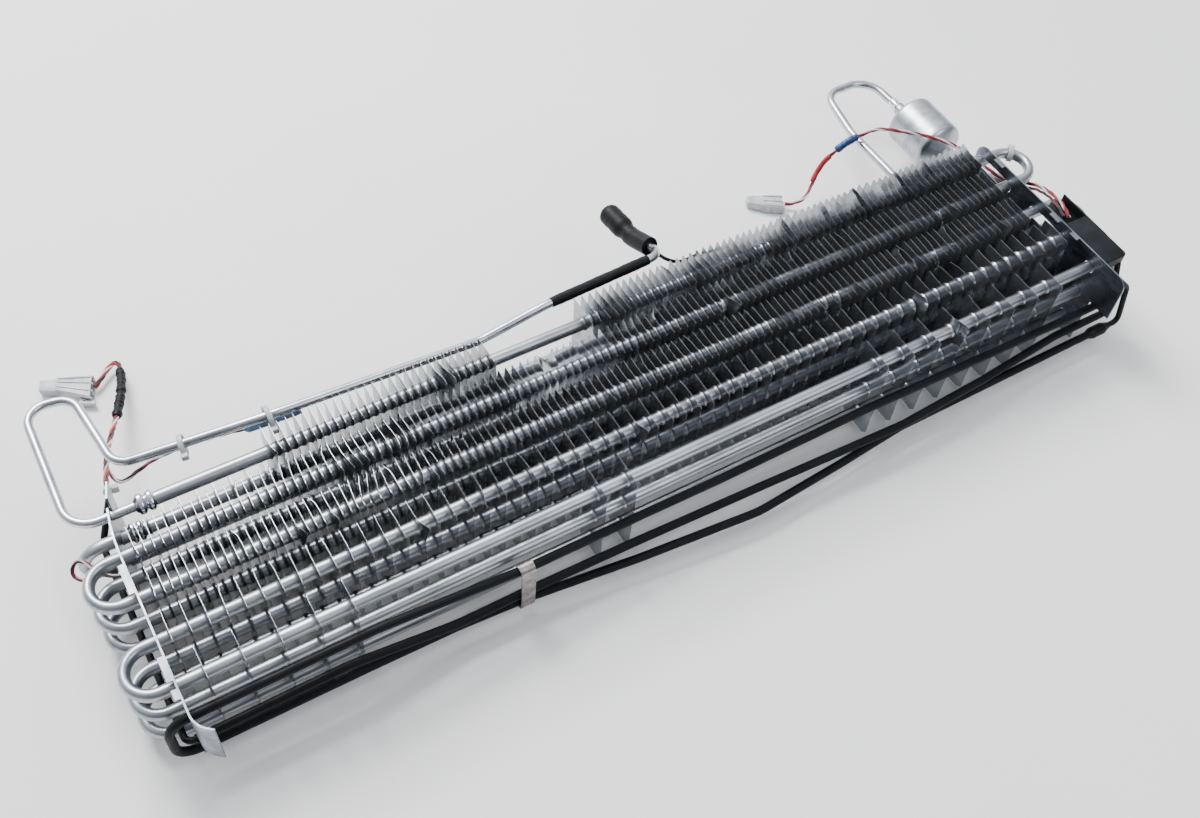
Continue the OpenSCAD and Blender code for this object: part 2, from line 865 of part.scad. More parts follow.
box_x = plate_span + plate_t / 2 + 0.3;
box_y = row_y(5) - 10;
box_z = layer_z(1) + tube_d / 2 + 0.4;
box_w = 20.5;
box_h = 8;
box_tray_l = 22;

// Flat plastic housing with an open tray at its upper end, where the wires go in
module terminal_box() {
    color("#1d2028")
    translate([box_x, box_y, box_z])
        difference() {
            cube([box_w, box_l, box_h]);
            translate([box_wall, box_l - box_tray_l, box_wall])
                cube([box_w - 2 * box_wall, box_tray_l + cut, box_h]);
        }
}

// Three-pole plug housing: a body with a latch and a narrower nose
connector_angle = -22;
connector_h = 8;

module harness_connector() {
    color("#dcdedd")
    translate([24, 191.5, 0])
        rotate([0, 0, connector_angle])
            difference() {
                union() {
                    translate([-23, -9, 0])
                        cube([23, 18, connector_h]);
                    translate([-33, -1, 1])
                        cube([11, 9, connector_h - 2]);
                    translate([-8, -12.5, 2])
                        cube([10, 3, 3]);
                    translate([-8, -10, 2])
                        cube([4, 2, 3]);
                }
                for (pole = [-1 : 1])
                    translate([-6, pole * 5.4 - 1.8, 2.2])
                        cube([7, 3.6, 3.6]);
            }
}

module fuse_connector() {
    color("#dcdedd")
    translate([516, 126.5, 0])
        rotate([0, 0, -26])
            difference() {
                union() {
                    translate([-16, -6.5, 0])
                        cube([16, 13, connector_h]);
                    translate([-27, -4, 1])
                        cube([12, 8, connector_h - 2]);
                    translate([-12, 6, 2])
                        cube([9, 2, 3]);
                }
                for (pole = [-1, 1])
                    translate([-5, pole * 3 - 1.5, 2.5])
                        cube([6, 3, 3]);
            }
}

// Routes of the free wires, as chosen points from one end to the other
harness_route = [
    [7, 74, 56], [8, 84, 52], [11, 98, 46], [16, 117, 37], [23, 136, 28], [31, 155, 20],
    [37, 171, 14], [42, 188, 9], [44, 200, 7], [42, 204, 6], [37, 202, 5.5], [31, 197, 5], [25, 192, 4.5]
];
sensor_route = [
    [17, 119, 40], [13, 108, 40], [12, 98, 41], [16, 88, 43], [26, 87, 48], [36, 86, 54],
    [50, 82.5, 60], [62, 80.5, 62], [76, 77.5, 64], [88, 74.6, 65]
];
loop_route = [
    [-1, 27, 47], [-7, 28, 47], [-13, 34, 46], [-17, 42, 46], [-21, 47, 46], [-26, 46, 44],
    [-27, 42, 40], [-22, 39, 38], [-14, 37, 39], [-7, 36, 42], [-1, 36, 43]
];
fuse_route = [
    [517, 126, 4.5], [522, 123, 5.5], [530, 121, 9], [538, 125, 14], [545, 130, 20], [551, 132, 26],
    [558, 131, 34], [568, 130, 41], [578, 129, 44], [588, 122, 52], [600, 108, 56], [612, 95, 57],
    [622, 81, 57], [630, 70, 53], [636, 60, 49], [640, 44, 49], [647, 31, 53], [651, 20, 57],
    [648, 6, 63], [643, -7, 68], [637, -20, 69.5]
];
box_route = [
    [634, 56, 46], [637, 44, 46], [643, 31, 50], [647, 20, 56], [644, 6, 63], [639, -7, 68], [634, -18, 69.5]
];

module harness_wires() {
    color("#8e2a3a")
        wire(harness_route, 3.4);
}

module harness_tape() {
    color("#1c1f28")
    bent_rod([
        [29, 150, 22, 0], [37, 171, 14.5, 40], [42, 188, 9.5, 40], [43, 196, 8, 0]
    ], 7);
}

module sensor_wires() {
    color("#8e2a3a")
        wire(sensor_route, 2.6);
}

module left_wire_loop() {
    color("#8e2a3a")
        wire(loop_route, 2);
}

module fuse_wires() {
    color("#8e2a3a")
        wire(fuse_route, 2.8);
}

module fuse_sleeve() {
    color("#c0303c")
    bent_rod([[540, 127, 16, 0], [545, 130, 20, 10], [551, 132, 26, 0]], 4.4);
}

module fuse_tape() {
    color("#17407f")
    bent_rod([[560, 131, 35.5, 0], [568, 130, 41.2, 20], [576, 129.2, 43.8, 0]], 6);
}

module box_wires() {
    color("#2a2c33")
        wire(box_route, 2.2);
}

left_end_plate();
right_end_plate();
front_layer_tube();
middle_layer_tube();
back_layer_tube();
riser_tube();
inlet_joint();
lock_ring();
row_1_inlet_fins();
row_1_lower_fins();
row_1_main_fins();
row_2_fins();
row_3_fins();
row_4_fins();
row_5_left_fins();
row_5_middle_fins();
row_5_right_fins();
inlet_pipe();
inlet_shrink_sleeve();
end_sleeve();
accumulator();
outlet_joint();
outlet_pipe();
heater_second_run();
heater_right_bend();
heater_front_run();
heater_left_bend();
heater_back_run();
heater_end_seal();
heater_left_lead();
heater_right_lead();
heater_clip();
defrost_sensor();
cable_ties();
terminal_box();
harness_connector();
harness_tape();
harness_wires();
sensor_wires();
left_wire_loop();
fuse_connector();
fuse_sleeve();
fuse_tape();
fuse_wires();
box_wires();
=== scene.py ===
# %% [markdown]
# # Refrigerator evaporator coil
# The cold part of a frost-free refrigerator: aluminium tube in three layers, pressed fins, two end plates,
# a defrost heater and its wiring. Its exact solids come from a CAD file. This notebook dresses them: it
# puts rounder, slightly bent pieces over the plain solids and gives every piece its real finish.

import bpy
import numpy as np
from mathutils import Matrix


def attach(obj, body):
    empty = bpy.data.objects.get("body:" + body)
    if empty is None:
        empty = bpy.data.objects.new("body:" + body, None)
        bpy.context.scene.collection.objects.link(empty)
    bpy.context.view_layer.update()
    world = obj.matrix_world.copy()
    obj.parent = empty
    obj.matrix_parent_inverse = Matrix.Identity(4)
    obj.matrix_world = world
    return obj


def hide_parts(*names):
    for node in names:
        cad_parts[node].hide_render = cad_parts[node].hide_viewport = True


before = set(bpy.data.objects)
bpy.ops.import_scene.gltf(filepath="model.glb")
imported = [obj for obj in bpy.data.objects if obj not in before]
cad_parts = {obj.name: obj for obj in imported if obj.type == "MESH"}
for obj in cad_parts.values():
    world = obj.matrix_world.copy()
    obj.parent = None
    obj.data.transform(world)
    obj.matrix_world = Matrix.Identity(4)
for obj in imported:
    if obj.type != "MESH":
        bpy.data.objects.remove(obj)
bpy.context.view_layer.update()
MM = 0.001

# %% [markdown]
# ## The camera
# A photograph fixes where the camera stood and how long its lens was. Both were worked out from the even
# spacing of the tubes. A camera can be aimed with a constraint or by hand, but a matrix holds the fitted
# angle exactly. Blender's camera looks along its own -Z, so the matrix's columns are the picture's right,
# up and backward directions.

# %% Camera
PICTURE_WIDE = 1200
FOCAL_PIXELS = 1346.01
camera_data = bpy.data.cameras.new("camera")
camera_data.sensor_width = 36
camera_data.lens = FOCAL_PIXELS / PICTURE_WIDE * camera_data.sensor_width
right, down, forward = (
    np.array([0.862105, -0.502859, 0.062507]),
    np.array([-0.375609, -0.716948, -0.587285]),
    np.array([0.340136, 0.482823, -0.806963]))


def in_scene(name, data):
    """A new object that shows this data, linked to the scene."""
    made = bpy.data.objects.new(name, data)
    bpy.context.scene.collection.objects.link(made)
    return made


def standing(*columns):
    """The matrix with these four columns: right, up, backward and place."""
    return Matrix([*np.stack(columns, 1).tolist(), [0, 0, 0, 1]])


CAMERA_AT = np.array([5.64, -392.74, 707.57])
camera = in_scene("camera", camera_data)
camera.matrix_world = standing(right, -down, -forward, CAMERA_AT * MM)
bpy.context.scene.camera = camera
print("lens in mm:", round(camera_data.lens, 2))

# %% [markdown]
# ## Shapes from numbers
# Pipes and turned parts could be curves with a bevel or a Screw modifier. Here every new piece is a
# surface worked out with numpy, because the same few formulas then make bars, turned parts and fins, and
# a hundred fins cost no more work than one. A shape is a pair: its points in millimetres, and a list of
# face tables. The formula of each surface stands in its docstring.

# %% Directions and faces
def unit(v):
    """v / |v|, along the last axis."""
    return v / np.maximum(np.linalg.norm(v, axis=-1, keepdims=True), 1e-12)


def across(w):
    """A unit vector at right angles to w: w × Z, or w × X where w is nearly upright."""
    return unit(np.cross(w, [0.0, 0.0, 1.0] if abs(w[2]) < 0.9 else [1.0, 0.0, 0.0]))


def travelled(path):
    """The distance along a path at each of its points."""
    return np.r_[0, np.cumsum(np.linalg.norm(np.diff(path, axis=0), axis=1))]


def joined(shapes):
    """Several shapes as one: points in a row, faces numbered on."""
    points = np.concatenate([p for p, _ in shapes])
    starts = np.cumsum([0] + [len(p) for p, _ in shapes[:-1]])
    return points, [face + start for (_, faces), start in zip(shapes, starts) for face in faces]


def grid_faces(rows, columns, round_columns=True):
    """Quads (i, j), (i, j + 1), (i + 1, j + 1), (i + 1, j) of a grid; the last column meets the first
    where round_columns is true."""
    i, j = np.meshgrid(np.arange(rows - 1), np.arange(columns if round_columns else columns - 1), indexing="ij")
    k = (j + 1) % columns
    quads = np.stack([i * columns + j, i * columns + k, (i + 1) * columns + k, (i + 1) * columns + j], -1)
    return quads.reshape(-1, 4)


def capped(rings):
    """Rings of points (rings, sides, 3) as a closed shape: quads between them, one face at each end."""
    count, sides = rings.shape[:2]
    first, last = np.arange(sides)[::-1][None], (count - 1) * sides + np.arange(sides)[None]
    return rings.reshape(-1, 3), [grid_faces(count, sides), first, last]


print("quads between 3 rings of 8:", len(grid_faces(3, 8)))

# %% Bars and turned pieces
BEND_SHOWS = 15  # a bend of this radius in millimetres, or tighter, is squeezed in full


def frames(path):
    """Direction t of a path, and two normals n and b = t × n that are carried along without twisting."""
    t = unit(np.gradient(path, axis=0))
    n = [across(t[0])]
    for direction in t[1:]:
        n.append(unit(n[-1] - direction * (n[-1] @ direction)))
    return t, np.array(n), np.cross(t, np.array(n))


def tube(path, radius, sides=24, flattened=0.0):
    """Round bar: P(i, a) = c_i + r_i (cos a · n_i + sin a · b_i). In its bends the ring is squeezed by the
    share `flattened` along the direction in which the path turns, as a bent tube is."""
    path = np.asarray(path, float)
    t, n, b = frames(path)
    a = np.linspace(0, 2 * np.pi, sides, endpoint=False)[None, :, None]
    ring = (np.cos(a) * n[:, None] + np.sin(a) * b[:, None]) * np.broadcast_to(radius, len(path))[:, None, None]
    if flattened:
        turning = np.gradient(t, travelled(path), axis=0)
        share = np.clip(np.linalg.norm(turning, axis=1) * BEND_SHOWS, 0, 1)
        share = np.convolve(np.pad(share, 2, mode="edge"), [0.1, 0.2, 0.4, 0.2, 0.1], mode="valid")
        inward = unit(turning)[:, None]
        ring = ring - flattened * share[:, None, None] * (ring * inward).sum(-1, keepdims=True) * inward
    return capped(path[:, None] + ring)


def turned(profile, start, end, sides=32, lobes=0, depth=0.0):
    """Turned piece: P(i, a) = start + h_i w + r_i (1 + depth cos(lobes a)) (cos a · u + sin a · v), where w
    runs from start to end and (h, r) are the profile's points."""
    profile, start = np.asarray(profile, float), np.asarray(start, float)
    w = unit(np.asarray(end, float) - start)
    u = across(w)
    v = np.cross(w, u)
    a = np.linspace(0, 2 * np.pi, sides, endpoint=False)[:, None]
    spoke = (np.cos(a) * u + np.sin(a) * v) * (1 + depth * np.cos(lobes * a))
    return capped(start + profile[:, 0, None, None] * w + profile[:, 1, None, None] * spoke[None])


print("points of a short bar:", len(tube([[0, 0, 0], [10, 0, 0]], 2)[0]))

# %% Paths
def rounded_path(corners, turn=7.0):
    """Path with rounded corners [x, y, z, bend radius r]: an inner corner becomes the arc
    start + r (sin a · u + (1 - cos a) · w), where u is the way in and w points inside."""
    corners = np.asarray(corners, float)
    path = [corners[:1, :3]]
    for before, here, after in zip(corners, corners[1:], corners[2:]):
        u, v = unit(here[:3] - before[:3]), unit(after[:3] - here[:3])
        angle, r = np.arccos(np.clip(u @ v, -1, 1)), here[3]
        a = np.linspace(0, angle, int(np.degrees(angle) / turn) + 2)[:, None]
        w = unit(v - u * (u @ v)) if angle > 0.002 else u * 0
        path.append(here[:3] - u * r * np.tan(angle / 2) + r * (np.sin(a) * u + (1 - np.cos(a)) * w))
    path = np.concatenate([*path, corners[-1:, :3]])
    return path[np.r_[True, np.linalg.norm(np.diff(path, axis=0), axis=1) > 0.02]]


def spaced(path, step):
    """The same path with points about `step` apart."""
    along = travelled(path)
    at = np.linspace(0, along[-1], int(along[-1] / step) + 2)
    return np.stack([np.interp(at, along, path[:, k]) for k in range(3)], axis=1)


def smooth_path(points, step=2.0):
    """Catmull-Rom curve through the points:
    P(t) = (2 p1 + (p2 - p0) t + (2 p0 - 5 p1 + 4 p2 - p3) t² + (3 p1 - p0 - 3 p2 + p3) t³) / 2."""
    p = np.asarray(points, float)
    p = np.concatenate([2 * p[:1] - p[1:2], p, 2 * p[-1:] - p[-2:-1]])
    t = np.linspace(0, 1, 9)[:-1][None, :, None]
    p0, p1, p2, p3 = (p[k : len(p) - 3 + k, None] for k in range(4))
    square, cube = 2 * p0 - 5 * p1 + 4 * p2 - p3, 3 * p1 - p0 - 3 * p2 + p3
    curve = (2 * p1 + (p2 - p0) * t + square * t**2 + cube * t**3) / 2
    return spaced(np.concatenate([curve.reshape(-1, 3), p[-2:-1]]), step)


corner = rounded_path([[0, 0, 0, 0], [20, 0, 0, 10], [20, 20, 0, 0]])
print("20 + 5π is about 35.7, and the path measures", round(travelled(corner)[-1], 1))

# %% Moulded blocks
def placed(shape, at, angle=0.0):
    """The shape turned by an angle in degrees about Z, then moved."""
    c, s = np.cos(np.radians(angle)), np.sin(np.radians(angle))
    return shape[0] @ np.array([[c, s, 0], [-s, c, 0], [0, 0, 1]]) + np.asarray(at, float), shape[1]


def block(low, high, corner=1.0, edge=0.4):
    """Moulded block between two corners. Ring b of a rounded rectangle, pulled in by edge (1 - sin b) where
    it is edge (1 - cos b) from the floor or the top, so its long edges are round too."""
    low, high = np.asarray(low, float), np.asarray(high, float)
    middle, half = (low + high) / 2, (high - low) / 2
    a = (np.arange(24) + 0.5) * np.pi / 12
    b = np.radians([0, 35, 65, 90])
    inset, lift = edge * (1 - np.sin(b)), edge * (1 - np.cos(b))
    inset, z = np.r_[inset, inset[::-1]], np.r_[low[2] + lift, high[2] - lift[::-1]]
    c = np.maximum(corner - inset, 0.05)[:, None]
    x = middle[0] + np.sign(np.cos(a)) * (half[0] - inset[:, None] - c) + c * np.cos(a)
    y = middle[1] + np.sign(np.sin(a)) * (half[1] - inset[:, None] - c) + c * np.sin(a)
    return capped(np.stack([x, y, np.broadcast_to(z[:, None], x.shape)], -1))


print("points of a block:", len(block([0, 0, 0], [8, 4, 2])[0]))

# %% From numbers to a mesh
def piece(name, coats, replaces=(), sharp=38):
    """A mesh object from [(shape, material), ...]. It sits at the origin and its points are in metres.
    Edges that turn by more than `sharp` degrees stay hard, and the rest are shaded smooth."""
    points, faces = joined([shape for shape, _ in coats])
    sizes = np.concatenate([np.full(len(f), f.shape[1]) for f in faces])
    coat = np.concatenate([np.full(sum(map(len, shape[1])), k) for k, (shape, _) in enumerate(coats)])
    mesh = bpy.data.meshes.new(name)
    mesh.vertices.add(len(points))
    mesh.vertices.foreach_set("co", (points * MM).astype(np.float32).ravel())
    mesh.loops.add(int(sizes.sum()))
    mesh.loops.foreach_set("vertex_index", np.concatenate([f.ravel() for f in faces]).astype(np.int32))
    mesh.polygons.add(len(sizes))
    mesh.polygons.foreach_set("loop_start", (np.cumsum(sizes) - sizes).astype(np.int32))
    mesh.polygons.foreach_set("material_index", coat.astype(np.int32))
    mesh.update(calc_edges=True)
    mesh.shade_smooth()
    mesh.set_sharp_from_angle(angle=np.radians(sharp))
    for _, material in coats:
        mesh.materials.append(material)
    made = in_scene(name, mesh)
    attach(made, "root")
    if replaces:
        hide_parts(*replaces)
    print(f"{name}: {len(points)} points, {int((sizes - 2).sum())} triangles")
    return made

# %% [markdown]
# ## Finishes
# A material is a small network of nodes. It could use pictures of real metal, but noise has no seams and
# no fixed size. Two noise patterns do the work. A coarse one mixes three tones, as handling and oxide do.
# A fine one, stretched along the way the metal was drawn or rolled, moves the roughness and the height.
# Pattern sizes are millimetres: the Mapping node turns metres into pattern cells. Scratches, braid and
# spark texture are finer than a pixel on the real coil, so their grain is drawn as coarse as it has to
# be to show.

# %% Material helpers
NOISE_LOW, NOISE_SPAN = 0.3, 0.4  # nearly all of a noise pattern's values lie between 0.3 and 0.7


def linear(colour):
    """sRGB #rrggbb as linear RGBA: c / 12.92 below 0.04045, else ((c + 0.055) / 1.055)^2.4."""
    c = np.array([int(colour[k : k + 2], 16) for k in (1, 3, 5)]) / 255
    return (*np.where(c <= 0.04045, c / 12.92, ((c + 0.055) / 1.055) ** 2.4), 1.0)


def add_node(tree, kind, settings=(), links=()):
    """Adds a node, sets its sockets or properties by name, and links sockets by name. "stops" sets the
    colours of a ramp."""
    node = tree.nodes.new(kind)
    for name, value in dict(settings).items():
        if name == "stops":
            for k, (at, colour) in enumerate(value):
                stop = node.color_ramp.elements[k] if k < 2 else node.color_ramp.elements.new(at)
                stop.position, stop.color = at, colour
        elif name in node.inputs:
            node.inputs[name].default_value = value
        else:
            setattr(node, name, value)
    for name, source in dict(links).items():
        tree.links.new(source, node.inputs[name])
    return node


def surface(name, tones, rough, metallic, blotch_mm, grain_mm, height_mm, **fixed):
    """A finish: tones mixed by blotches of blotch_mm, roughness between two values and height height_mm by
    grain of grain_mm. One size stands for all three directions. `fixed` sets the shader's other sockets."""
    material = bpy.data.materials.new(name)
    material.use_nodes = True
    tree = material.node_tree
    shader = next(n for n in tree.nodes if n.type == "BSDF_PRINCIPLED")
    place = add_node(tree, "ShaderNodeTexCoord").outputs["Object"]
    patterns = []
    for size, detail, harshness in ((blotch_mm, 5, 0.6), (grain_mm, 4, 0.55)):
        cells = [1000 / step for step in np.broadcast_to(size, 3).tolist()]
        scaled = add_node(tree, "ShaderNodeMapping", {"Scale": cells}, {"Vector": place})
        values = {"Scale": 1, "Detail": detail, "Roughness": harshness}
        noise = add_node(tree, "ShaderNodeTexNoise", values, {"Vector": scaled.outputs[0]})
        patterns.append(noise.outputs["Fac"])
    blotch, grain = patterns
    stops = [(NOISE_LOW + NOISE_SPAN * k / (len(tones) - 1), linear(tone)) for k, tone in enumerate(tones)]
    ramp = add_node(tree, "ShaderNodeValToRGB", {"stops": stops}, {"Fac": blotch})
    spread = add_node(
        tree, "ShaderNodeMapRange",
        {"From Min": NOISE_LOW, "From Max": NOISE_LOW + NOISE_SPAN, "To Min": rough[0], "To Max": rough[1]},
        {"Value": grain})
    bump = add_node(tree, "ShaderNodeBump", {"Strength": 1.0, "Distance": height_mm * MM}, {"Height": grain})
    tree.links.new(ramp.outputs["Color"], shader.inputs["Base Color"])
    tree.links.new(spread.outputs["Result"], shader.inputs["Roughness"])
    tree.links.new(bump.outputs["Normal"], shader.inputs["Normal"])
    shader.inputs["Metallic"].default_value = metallic
    for socket, value in fixed.items():
        shader.inputs[socket.replace("_", " ")].default_value = value
    return material


print("#808080 is linear", round(linear("#808080")[0], 3))

# %% [markdown]
# ## Metals
# Nearly all of the coil is bare aluminium, and its finish tells how each piece was made. One shader with
# other tones, roughness and grain direction gives them all, so the pieces still look like one metal.

# %% Metal finishes
# Drawn through a die: a soft bright band along the tube, with faint lengthways scratches, drawn coarse.
drawn_aluminium = surface(
    "drawn_aluminium_tube", ["#8B8F96", "#A6AAB0", "#BABDC2"], (0.3, 0.42), 1.0,
    blotch_mm=(40, 12, 12), grain_mm=(18, 3, 3), height_mm=0.003)
# Rolled foil: nearly a mirror under a thin oxide film, so the tubes show again in every fin.
fin_foil = surface(
    "rolled_aluminium_foil", ["#94989E", "#A6AAAF", "#B8BBC0"], (0.1, 0.2), 0.92,
    blotch_mm=(30, 14, 14), grain_mm=7, height_mm=0.01)
# The outer row's foil was handled and has dulled: greyer and more even.
weathered_foil = surface(
    "weathered_aluminium_foil", ["#7C8086", "#92969B", "#A8ACB1"], (0.18, 0.34), 0.95,
    blotch_mm=(45, 14, 14), grain_mm=7, height_mm=0.01)
# Thicker rolled sheet: darker and satin, streaked along the plate.
rolled_sheet = surface(
    "rolled_aluminium_sheet", ["#686D75", "#868B93", "#A3A7AE"], (0.24, 0.4), 1.0,
    blotch_mm=(14, 22, 14), grain_mm=(2, 12, 1.5), height_mm=0.012)
# Annealed before bending: smooth and bright, with a narrow line of light.
bent_pipe = surface(
    "annealed_aluminium_pipe", ["#9A9EA6", "#BBBEC4", "#D3D5D9"], (0.2, 0.34), 1.0,
    blotch_mm=(35, 35, 12), grain_mm=(6, 6, 4), height_mm=0.004)
# Swaged metal was worked hard: bright glints on its lumps.
swaged_aluminium = surface(
    "swaged_aluminium_joint", ["#B4BAC3", "#DADDE2", "#F2F3F5"], (0.1, 0.24), 1.0,
    blotch_mm=4, grain_mm=2.5, height_mm=0.03)
# Spun on a lathe: fine rings that spread the light into a broad sheen.
spun_aluminium = surface(
    "spun_aluminium_canister", ["#969AA1", "#B4B8BE", "#CBCED2"], (0.28, 0.44), 1.0,
    blotch_mm=(18, 9, 18), grain_mm=(400, 0.35, 400), height_mm=0.012)
# Galvanised strip: warmer and duller than the aluminium round it.
strip_steel = surface(
    "galvanised_steel_strip", ["#6F6C6B", "#938E8B", "#AFABA6"], (0.3, 0.5), 1.0,
    blotch_mm=4, grain_mm=(0.6, 5, 5), height_mm=0.02)
print("materials so far, the CAD's own included:", len(bpy.data.materials))

# %% [markdown]
# ## Rubber and plastic
# The soft pieces: sleeves, wires, tape, ties and housings. They could be flat colours, but even new rubber
# has uneven gloss, so they use the same two patterns. The black ones have a low specular level, because
# their dull, dusty skin reflects less than a smooth one. Nylon lets light in, which Subsurface gives.

# %% Other finishes
# Extruded PVC: near black, with a weak, broad highlight along the run.
heater_pvc = surface(
    "extruded_pvc_heater_sheath", ["#08090D", "#0E1015", "#16191F"], (0.4, 0.58), 0.0,
    blotch_mm=(30, 7, 7), grain_mm=(9, 1.2, 1.2), height_mm=0.03, Specular_IOR_Level=0.14)
# Moulded rubber: the darkest surface, dull and slightly uneven.
black_rubber = surface(
    "moulded_black_rubber", ["#08090C", "#0E1013", "#1A1D22"], (0.4, 0.62), 0.0,
    blotch_mm=9, grain_mm=1.2, height_mm=0.06, Specular_IOR_Level=0.18)
# Pigmented PVC: clear light blue with a satin skin.
sensor_pvc = surface(
    "moulded_blue_pvc_sensor", ["#5F80A8", "#7C9CC0", "#A3BAD2"], (0.36, 0.5), 0.0,
    blotch_mm=(10, 5, 5), grain_mm=(1.5, 0.8, 0.8), height_mm=0.03)
# Uncoloured nylon: milky grey, and light goes a little way in.
natural_nylon = surface(
    "moulded_natural_nylon", ["#A4A8AC", "#B9BCC0", "#CFD1D3"], (0.28, 0.42), 0.0,
    blotch_mm=6, grain_mm=0.9, height_mm=0.02,
    Subsurface_Weight=0.35, Subsurface_Radius=(0.002, 0.002, 0.0018), Subsurface_Scale=1.0)
# Polypropylene from a spark-eroded mould: black, with no sharp reflections.
black_plastic = surface(
    "moulded_black_polypropylene", ["#0C0E11", "#13161A", "#1D2026"], (0.42, 0.58), 0.0,
    blotch_mm=16, grain_mm=0.5, height_mm=0.03, Specular_IOR_Level=0.18)


def wire_pvc(name, tones, rough=(0.34, 0.5)):
    """Extruded wire insulation: smooth and a little glossy, so that each colour shows as a clear line."""
    return surface(name, tones, rough, 0.0, blotch_mm=8, grain_mm=1.2, height_mm=0.02)


red_pvc = wire_pvc("extruded_red_pvc_wire", ["#561420", "#7E2432", "#9C3C48"])
bright_red_pvc = wire_pvc("extruded_bright_red_pvc_wire", ["#A81F22", "#CC3A2C", "#DE5B48"], (0.3, 0.46))
pale_pvc = wire_pvc("extruded_pale_pvc_wire", ["#B7A3A8", "#D5C7C9", "#E9E0E0"])
dark_pvc = wire_pvc("extruded_dark_pvc_wire", ["#1B1519", "#2B2228", "#43363D"])
# Braided sleeving: saturated and matt, because its threads scatter the light. The braid is drawn coarse.
red_sleeving = surface(
    "braided_red_sleeving", ["#6E0A14", "#98121D", "#B0202C"], (0.45, 0.65), 0.0,
    blotch_mm=3, grain_mm=0.7, height_mm=0.08)
# Wound PVC tape: deep blue, satin, with small steps at its turns.
blue_tape = surface(
    "wound_blue_pvc_tape", ["#0B2250", "#123468", "#1F4A88"], (0.34, 0.52), 0.0,
    blotch_mm=5, grain_mm=(1.6, 0.9, 0.9), height_mm=0.06)
print("materials, the CAD's own included:", len(bpy.data.materials))

# %% [markdown]
# ## Free wires
# A wire bundle is a few insulated strands, each its own colour, that turn loosely round each other. One
# striped tube would look painted. So each strand is a thin tube of its own that circles a middle line,
# once in a few centimetres, and the middle line goes through the same points as the plain solid.

# %% Wire routes in millimetres
harness_route = np.array([
    [7, 74, 56], [8, 84, 52], [11, 98, 46], [16, 117, 37], [23, 136, 28], [31, 155, 20], [37, 171, 14],
    [42, 188, 9], [44, 200, 7], [42, 204, 6], [37, 202, 5.5], [31, 197, 5], [25, 192, 4.5]])
sensor_route = np.array([
    [17, 119, 40], [13, 108, 40], [12, 98, 41], [16, 88, 43], [26, 87, 48], [36, 86, 54], [50, 82.5, 60],
    [62, 80.5, 62], [76, 77.5, 64], [88, 74.6, 65]])
loop_route = np.array([
    [-1, 27, 47], [-7, 28, 47], [-13, 34, 46], [-17, 42, 46], [-21, 47, 46], [-25.3, 46, 44],
    [-26.2, 42, 40], [-22, 39, 38], [-14, 37, 39], [-7, 36, 42], [-1, 36, 43]])
fuse_route = np.array([
    [517, 126, 4.5], [522, 123, 5.5], [530, 121, 9], [538, 125, 14], [545, 130, 20], [551, 132, 26],
    [558, 131, 34], [568, 130, 41], [578, 129, 44], [588, 122, 52], [600, 108, 56], [612, 95, 57],
    [622, 81, 57], [630, 70, 53], [636, 60, 49], [640, 44, 49], [647, 31, 53], [651, 20, 57],
    [648, 6, 63], [643, -7, 68], [637, -20, 69.5]])
box_route = np.array([
    [634, 56, 46], [637, 44, 46], [643, 31, 50], [647, 20, 56], [644, 6, 63], [639, -7, 68],
    [634, -18, 69.5]])
print("harness route points:", len(harness_route))

# %% Wire strands
STRAND_LAY = 26  # a strand goes once round its bundle in this many millimetres


def bundle(route, strand, offset, count):
    """Strands of a bundle: strand k follows c(s) + offset (cos φ · n + sin φ · b), where
    φ = 2π (s / lay + k / count)."""
    path = smooth_path(route, 1.6)
    t, n, b = frames(path)
    phases = 2 * np.pi * (travelled(path)[None] / STRAND_LAY + np.arange(count)[:, None] / count)
    lines = path + offset * (np.cos(phases)[..., None] * n + np.sin(phases)[..., None] * b)
    return path, [tube(line, strand / 2, 8) for line in lines]


def length_of(path):
    """Length of a path in metres: the sum of the distances between its points."""
    return float(np.linalg.norm(np.diff(path, axis=0), axis=1).sum()) * MM


print("harness route in metres:", round(length_of(harness_route), 3))

# %% [markdown]
# ## Plugs, tape and sleeves on the wires
# The plugs are moulded housings: a body with a latch, a narrower nose and a pocket for each pole. They
# could be cut out of one block, but stacking rounded blocks keeps every edge soft, as moulding does.
# Tape is wound in turns, so its radius steps like a screw. A tube with a changing radius gives that
# without a separate strip of tape.

# %% Plugs
POLE_WALL, PLUG_SKIN = 0.9, 1.2


def plug(length, width, height, poles, nose, latch):
    """A housing along -X with its open end at x = 0: floor, side walls, ribs between the poles, lid, nose."""
    walls = np.linspace(-width / 2, width / 2 - POLE_WALL, poles + 1)
    return joined([
        block([-length, -width / 2, 0], [0, width / 2, PLUG_SKIN], 1.0, 0.3),
        *(block([-length, wall, 0.6], [0, wall + POLE_WALL, height - 0.5], 0.4, 0.2) for wall in walls),
        block([-length, -width / 2, height - PLUG_SKIN], [-PLUG_SKIN, width / 2, height], 1.0, 0.3),
        block([-length, -width / 2, 0.3], [-length + 6, width / 2, height - 0.3], 1.2, 0.3),
        block(*nose, 1.2, 0.5), block(*latch, 0.6, 0.3)])


def narrowed(shape, start, end, share):
    """The shape with its -Y side drawn in towards the nose: y + share (half - y) where x goes from start
    to end, half being its +Y side."""
    points, faces = shape
    pull = share * np.clip((start - points[:, 0]) / (start - end), 0, 1)
    half = points[:, 1].max()
    return np.c_[points[:, 0], points[:, 1] + pull * (half - points[:, 1]), points[:, 2]], faces


